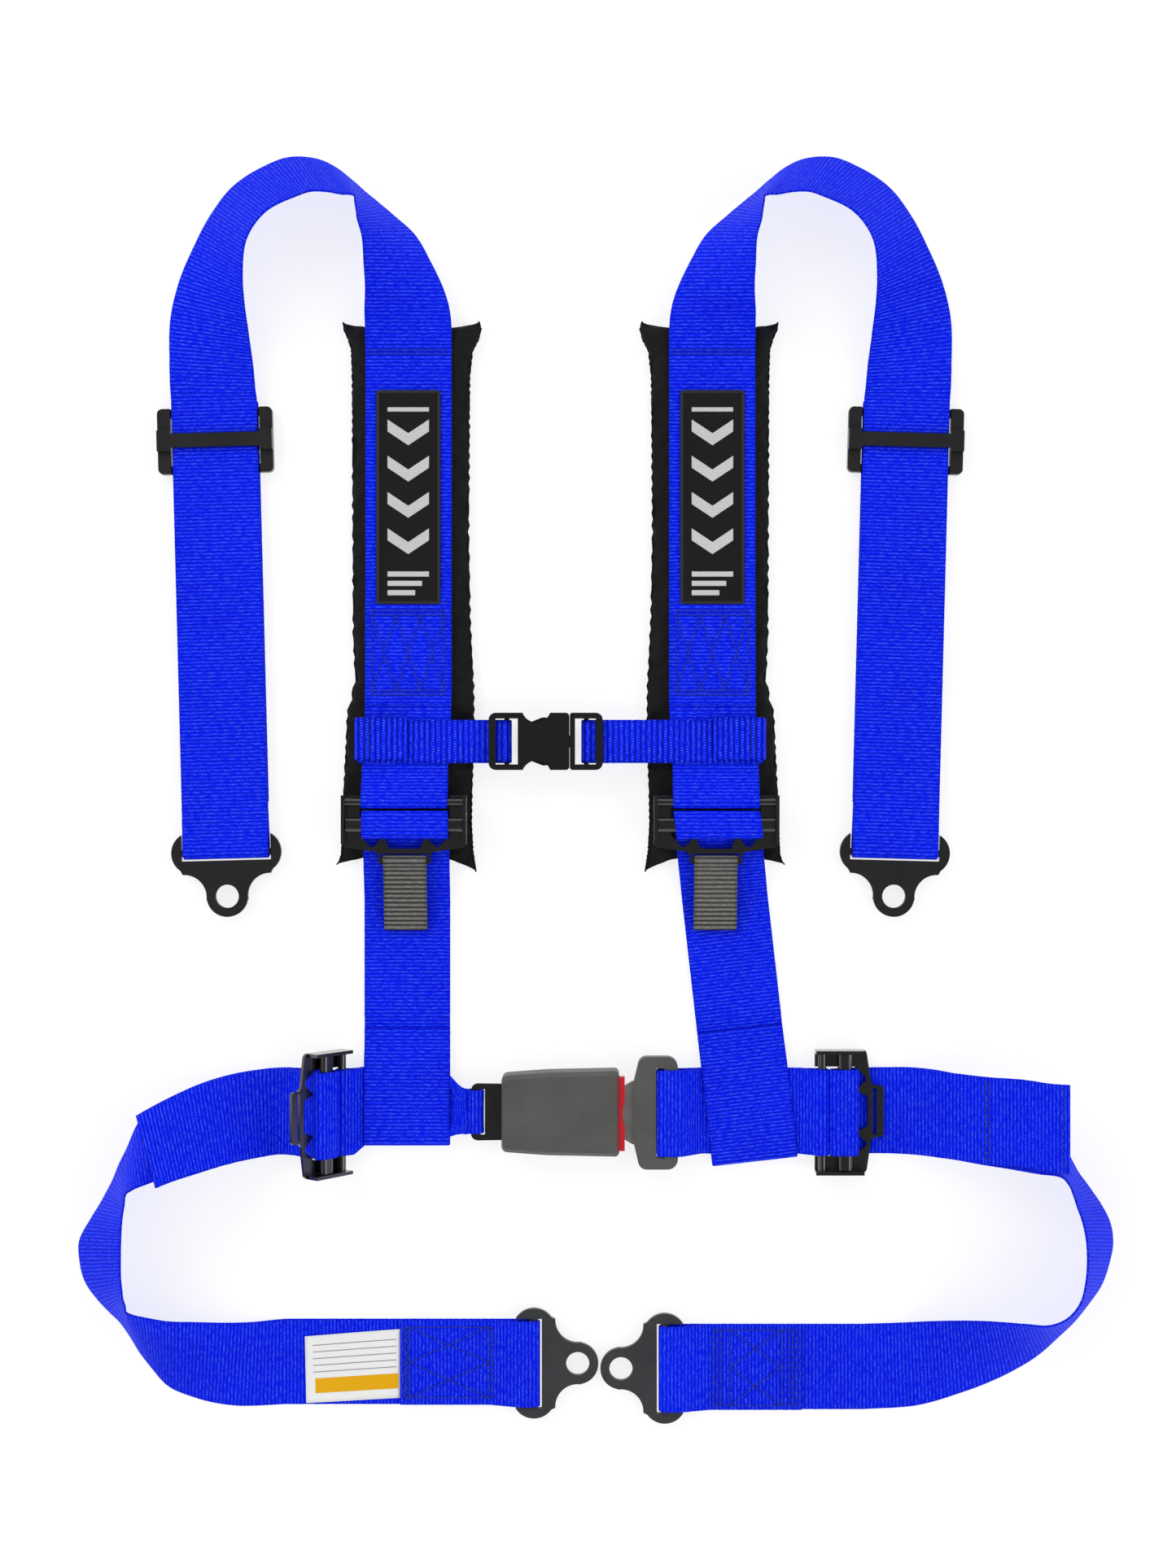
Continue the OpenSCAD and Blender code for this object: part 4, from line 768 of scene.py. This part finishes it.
def make_pad(side):
    rows, cols = 130, 26
    verts = []
    idx = {}
    for i in range(rows + 1):
        for layer in (1, -1):
            for j in range(cols + 1):
                if layer == -1 and (i in (0, rows) or j in (0, cols)):
                    idx[i, j, -1] = idx[i, j, 1]
                    continue
                v = math.sin(math.pi / 2 * (-1 + 2 * j / cols))
                t = i / rows
                t = t - math.sin(2 * math.pi * t) / (2 * math.pi) * .55
                y_lo = -39.5 - 4.5 * max(0, -v) ** 3 - 8.5 * max(0, v) ** 3
                y_hi = 269.3 + 2.7 * max(0, -v) ** 4 + 3.3 * max(0, v) ** 4
                y0 = y_lo + (y_hi - y_lo) * t
                x0 = along_edge(EDGE_L, y0) * (1 - v) / 2 + along_edge(EDGE_R, y0) * (1 + v) / 2
                puff = max(0, 1 - abs(v) ** 3.2) ** .5 * max(0, 1 - abs(2 * t - 1) ** 30) ** .5
                k = min(1, max(0, (y0 + 6) / 16))
                zs = 3.0 + 1.2 * k
                hi = 4.7 + 5.0 * k
                z = zs + (hi - zs) * puff if layer == 1 else zs + (.35 - zs) * min(1, puff * 1.15)
                idx[i, j, layer] = len(verts)
                verts.append((BELT + .5 + x0, y0, z))
    faces = []
    for i in range(rows):
        for j in range(cols):
            faces.append((idx[i, j, 1], idx[i, j + 1, 1], idx[i + 1, j + 1, 1], idx[i + 1, j, 1]))
            faces.append((idx[i, j, -1], idx[i + 1, j, -1], idx[i + 1, j + 1, -1], idx[i, j + 1, -1]))
    if side == "right":
        verts = [tuple(flip(v)) for v in verts]
        faces = [tuple(reversed(f)) for f in faces]
    o = mesh_object(side + "_pad", verts, faces)
    mid = BELT if side == "left" else 2 * MID - BELT
    seam_v = {idx[i, j, 1] for i in range(rows + 1) for j in (0, cols)}
    seam_v |= {idx[i, j, 1] for i in (0, rows) for j in range(cols + 1)}
    pin = o.vertex_groups.new(name="held")
    for k, v in enumerate(verts):
        under = abs(v[0] - mid) < 23.5
        if k in seam_v:
            pin.add([k], .9, "REPLACE")
        elif under:
            pin.add([k], 1.0, "REPLACE")
    c = o.modifiers.new("cloth", "CLOTH")
    cs = c.settings
    cs.quality = 6
    cs.mass = .12
    cs.tension_stiffness = 12
    cs.compression_stiffness = 12
    cs.shear_stiffness = 4
    cs.bending_stiffness = .25
    cs.use_pressure = True
    cs.uniform_pressure_force = 4
    cs.shrink_min = -.045
    cs.vertex_group_mass = "held"
    cs.effector_weights.gravity = 0
    c.collision_settings.use_collision = False
    c.point_cache.frame_start, c.point_cache.frame_end = 1, 20
    sc = bpy.context.scene
    for f in range(1, 21):
        sc.frame_set(f)
    dg = bpy.context.evaluated_depsgraph_get()
    moved = [tuple(v.co) for v in o.evaluated_get(dg).data.vertices]
    o.modifiers.clear()
    sc.frame_set(1)
    for k, (v, q) in enumerate(zip(o.data.vertices, moved)):
        d = V(q) - v.co
        if d.length > .0028:
            d *= .0028 / d.length
        v.co = v.co + d
    for v in o.data.vertices:
        x0, y0 = v.co[0] / S, v.co[1] / S
        # pressed flat by the belts and the floor, and clear of the chest strap's wrap
        top = 9.6 if y0 > 8 else 4.5 + 5.1 * min(1, max(0, (y0 + 6) / 14))
        free = min(1, max(0, (abs(x0 - mid) - 25.6) / 3))
        lift = 2.2 * free if y0 > 8 else 6.0 * free
        if abs(y0 - CHEST_Y) < 22:
            lift = min(lift, .3)
        v.co[2] = min(max(v.co[2], .3 * S), (top + lift) * S)
    o.vertex_groups.clear()
    sub = o.modifiers.new("soft", "SUBSURF")
    sub.levels = sub.render_levels = 1
    o.data.materials.append(m_pad)
    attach(o, side + "_half")
    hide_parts(side + "_pad_cover", side + "_pad_foam")
    # sewn edge: a doubled seam allowance lying along both long sides
    pts = []
    for j in (0, cols):
        run = [o.data.vertices[idx[i, j, 1]].co / S for i in range(rows + 1)]
        pts.append(run)
    for n, run in enumerate(pts):
        vv, ff = [], []
        for i, q in enumerate(run):
            for k in range(6):
                a0 = k * math.pi / 3
                wob = .12 * noise.noise(V((i * .7, n, 3)))
                vv.append((q[0] + (.55 + wob) * math.cos(a0), q[1], q[2] + (.75 + wob) * math.sin(a0)))
        for i in range(len(run) - 1):
            for k in range(6):
                j2 = (k + 1) % 6
                ff.append((i * 6 + k, i * 6 + j2, i * 6 + 6 + j2, i * 6 + 6 + k))
        e = mesh_object(side + "_pad_seam_%d" % n, vv, ff)
        e.data.materials.append(m_pad)
        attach(e, side + "_half")
    return o


for side in ("left", "right"):
    make_pad(side)

# ------------------------------------------------------------------ pad patches, with stripes and chevrons
for side in ("left", "right"):
    cx = BELT if side == "left" else 2 * MID - BELT
    o = NODES[side + "_pad_patch"]
    rim = [(-17.6, 108), (17.6, 108), (17.6, 230), (-17.6, 230)]
    vv, ff = [], []
    n = 0
    ring = []
    for (x0, y0), (x1, y1) in zip(rim, rim[1:] + rim[:1]):
        m = 40 if y0 != y1 else 12
        ring += [(x0 + (x1 - x0) * i / m, y0 + (y1 - y0) * i / m) for i in range(m)]
    z0 = 12.75
    for i, (x, y) in enumerate(ring):
        px, py = ring[i - 1]
        qx, qy = ring[(i + 1) % len(ring)]
        d = V((qx - px, qy - py, 0)).normalized()
        s_ = V((-d[1], d[0], 0))
        for k in range(6):
            a0 = k * math.pi / 3
            c = V((cx + x, y, z0)) + s_ * (.95 * math.cos(a0)) + V((0, 0, .42 * math.sin(a0)))
            vv.append(c)
    m = len(ring)
    for i in range(m):
        for k in range(6):
            j2 = (k + 1) % 6
            b = (i + 1) % m
            ff.append((i * 6 + k, i * 6 + j2, b * 6 + j2, b * 6 + k))
    e = mesh_object(side + "_patch_rim", vv, ff)
    e.data.materials.append(m_thread_k)
    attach(e, side + "_half")
    # motif: flat embroidered shapes
    shapes = []
    for k in range(4):
        y0 = 214 - 21 * k
        shapes.append([(-12, y0), (-12, y0 - 7), (0, y0 - 15), (12, y0 - 7), (12, y0), (0, y0 - 8)])
    for k in range(3):
        y0, x1 = 126 - 5.4 * k, 12 - 4 * k
        shapes.append([(-12, y0), (x1, y0), (x1, y0 - 3), (-12, y0 - 3)])
    shapes.append([(-12, 221), (12, 221), (12, 218.5), (-12, 218.5)])
    vv, ff, uvs = [], [], []
    for sh in shapes:
        b = len(vv)
        for z in (12.7, 13.05):
            for x, y in sh:
                vv.append((cx + x, y, z))
                uvs.append((x, y))
        n = len(sh)
        if n == 6:
            ff += [(b + 6, b + 7, b + 8, b + 11), (b + 11, b + 8, b + 9, b + 10)]
        else:
            ff.append(tuple(b + n + i for i in range(n - 1, -1, -1)))
        for i in range(n):
            ff.append((b + i, b + (i + 1) % n, b + n + (i + 1) % n, b + n + i))
    e = mesh_object(side + "_patch_motif", vv, ff, uvs, smooth=False)
    face_outward(e)
    bv = e.modifiers.new("edge", "BEVEL")
    bv.width = .0002
    e.data.materials.append(m_mark)
    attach(e, side + "_half")

# ------------------------------------------------------------------ care label, a small woven sheet
def label_point(a, b, lift=0.0):
    """A point on the label at shares a along and b across it."""
    x = -168.5 + 55.5 * a - .8 * b * (1 - a)
    y = BAND_Y - 24 + 3 * a + 39 * b + 1.2 * a * b
    z = 1.62 + .35 * (1 - a) ** 2 * (b ** 2 + .6) + .12 * math.sin(5 * a + 2 * b) + lift
    return (x, y, z)


vv, ff, uvs = [], [], []
nx, ny = 22, 16
for i in range(nx + 1):
    for j in range(ny + 1):
        a, b = i / nx, j / ny
        vv.append(label_point(a, b))
        uvs.append((55 * a, 40 * b))
for i in range(nx):
    for j in range(ny):
        k = i * (ny + 1) + j
        ff.append((k, k + ny + 1, k + ny + 2, k + 1))
label = mesh_object("label_sheet", vv, ff, uvs)
thick = label.modifiers.new("thick", "SOLIDIFY")
thick.thickness = .00022
thick.offset = 1
label.data.materials.append(m_label)
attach(label, "left_half")
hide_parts("care_label")


def on_label(name, quads, mat, lift=.28):
    vv, ff, uvs = [], [], []
    for a0, a1, b0, b1 in quads:
        n = 14
        base = len(vv)
        for i in range(n + 1):
            for b in (b0, b1):
                a = a0 + (a1 - a0) * i / n
                vv.append(label_point(a, b, lift))
                uvs.append((55 * a, 40 * b))
        for i in range(n):
            k = base + 2 * i
            ff.append((k, k + 2, k + 3, k + 1))
    o = mesh_object(name, vv, ff, uvs)
    o.data.materials.append(mat)
    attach(o, "left_half")


on_label("label_band", [(.1, .97, .14, .36)], m_yellow)
on_label("label_rules", [(.08, .95, .45 + .1 * k, .462 + .1 * k) for k in range(5)], m_rule, .29)

# ------------------------------------------------------------------ hardware from the frame
for side in ("left", "right"):
    paint(side + "_top_slide", m_dark, .0005, 3)
    paint(side + "_shoulder_bolt_plate", m_dark, .0005, 3)
    paint(side + "_lap_bolt_plate", m_grey, .0005, 3)
    for k in ("_shoulder_adjuster", "_lap_adjuster"):
        paint(side + k, m_black, .0007, 3)
        paint(side + k + "_bar", m_black, .0003)
    paint(side + "_pad_patch", m_patch, .0003)
for n in ("chest_buckle_socket", "chest_buckle_plug", "chest_prong_upper", "chest_prong_lower"):
    paint(n, m_plastic, .0005, 3)
for n in ("buckle_upper_cover", "buckle_lower_cover", "tongue_cover"):
    paint(n, m_grip, .0007, 3)
paint("buckle_frame", m_frame, .0004, 3)
for n in ("buckle_latch", "buckle_spring", "buckle_rivets", "tongue_plate"):
    paint(n, m_zinc, .0003)
paint("buckle_ejector", m_plastic)
paint("buckle_button", m_red, .0004, 3)

# ------------------------------------------------------------------ floor, light and camera
bpy.ops.mesh.primitive_plane_add(size=12, location=(0, 0, -.0002))
floor = bpy.context.object
floor.name = "floor"
mf, nt, pf = new_mat("floor_white")
pf.inputs["Base Color"].default_value = (.27, .27, .265, 1)
pf.inputs["Roughness"].default_value = .8
pf.inputs["Specular IOR Level"].default_value = .1
pf.inputs["Emission Color"].default_value = (1, 1, 1, 1)
pf.inputs["Emission Strength"].default_value = .77
floor.data.materials.append(mf)

# a soft studio: pale all round and darker straight above, so flat black steel stays black and its
# edges catch light
world = bpy.data.worlds.new("studio")
bpy.context.scene.world = world
world.use_nodes = True
wt = world.node_tree
bg = wt.nodes["Background"]
tc = wt.nodes.new("ShaderNodeTexCoord")
sep = wt.nodes.new("ShaderNodeSeparateXYZ")
wt.links.new(tc.outputs["Generated"], sep.inputs[0])
ramp = wt.nodes.new("ShaderNodeMapRange")
ramp.interpolation_type = "SMOOTHSTEP"
for k, v in (("From Min", .72), ("From Max", .93), ("To Min", 1.15), ("To Max", .22)):
    ramp.inputs[k].default_value = v
wt.links.new(sep.outputs[2], ramp.inputs["Value"])
wt.links.new(ramp.outputs[0], bg.inputs[1])
bg.inputs[0].default_value = (1, 1, 1, 1)


def area(name, loc, size, power):
    d = bpy.data.lights.new(name, "AREA")
    d.energy = power
    d.shape = "RECTANGLE"
    d.size, d.size_y = size
    o = bpy.data.objects.new(name, d)
    bpy.context.scene.collection.objects.link(o)
    o.location = loc
    o.rotation_euler = (V((0, 0, 0)) - V(loc)).to_track_quat("-Z", "Y").to_euler()
    return o


area("key", (-1.9, 1.9, 1.9), (1.4, 1.4), 26)
area("fill", (2.2, -.8, 1.7), (1.4, 1.4), 12)

cam = bpy.data.cameras.new("camera")
cam.sensor_fit = "VERTICAL"
cam.angle = 2 * math.atan(.4586 / 1.2)
co = bpy.data.objects.new("camera", cam)
bpy.context.scene.collection.objects.link(co)
co.location = (-.004, .003, 1.2)
co.rotation_euler = (0, 0, 0)
bpy.context.scene.camera = co
bpy.context.scene.view_settings.view_transform = "Standard"
bpy.context.scene.view_settings.look = "None"
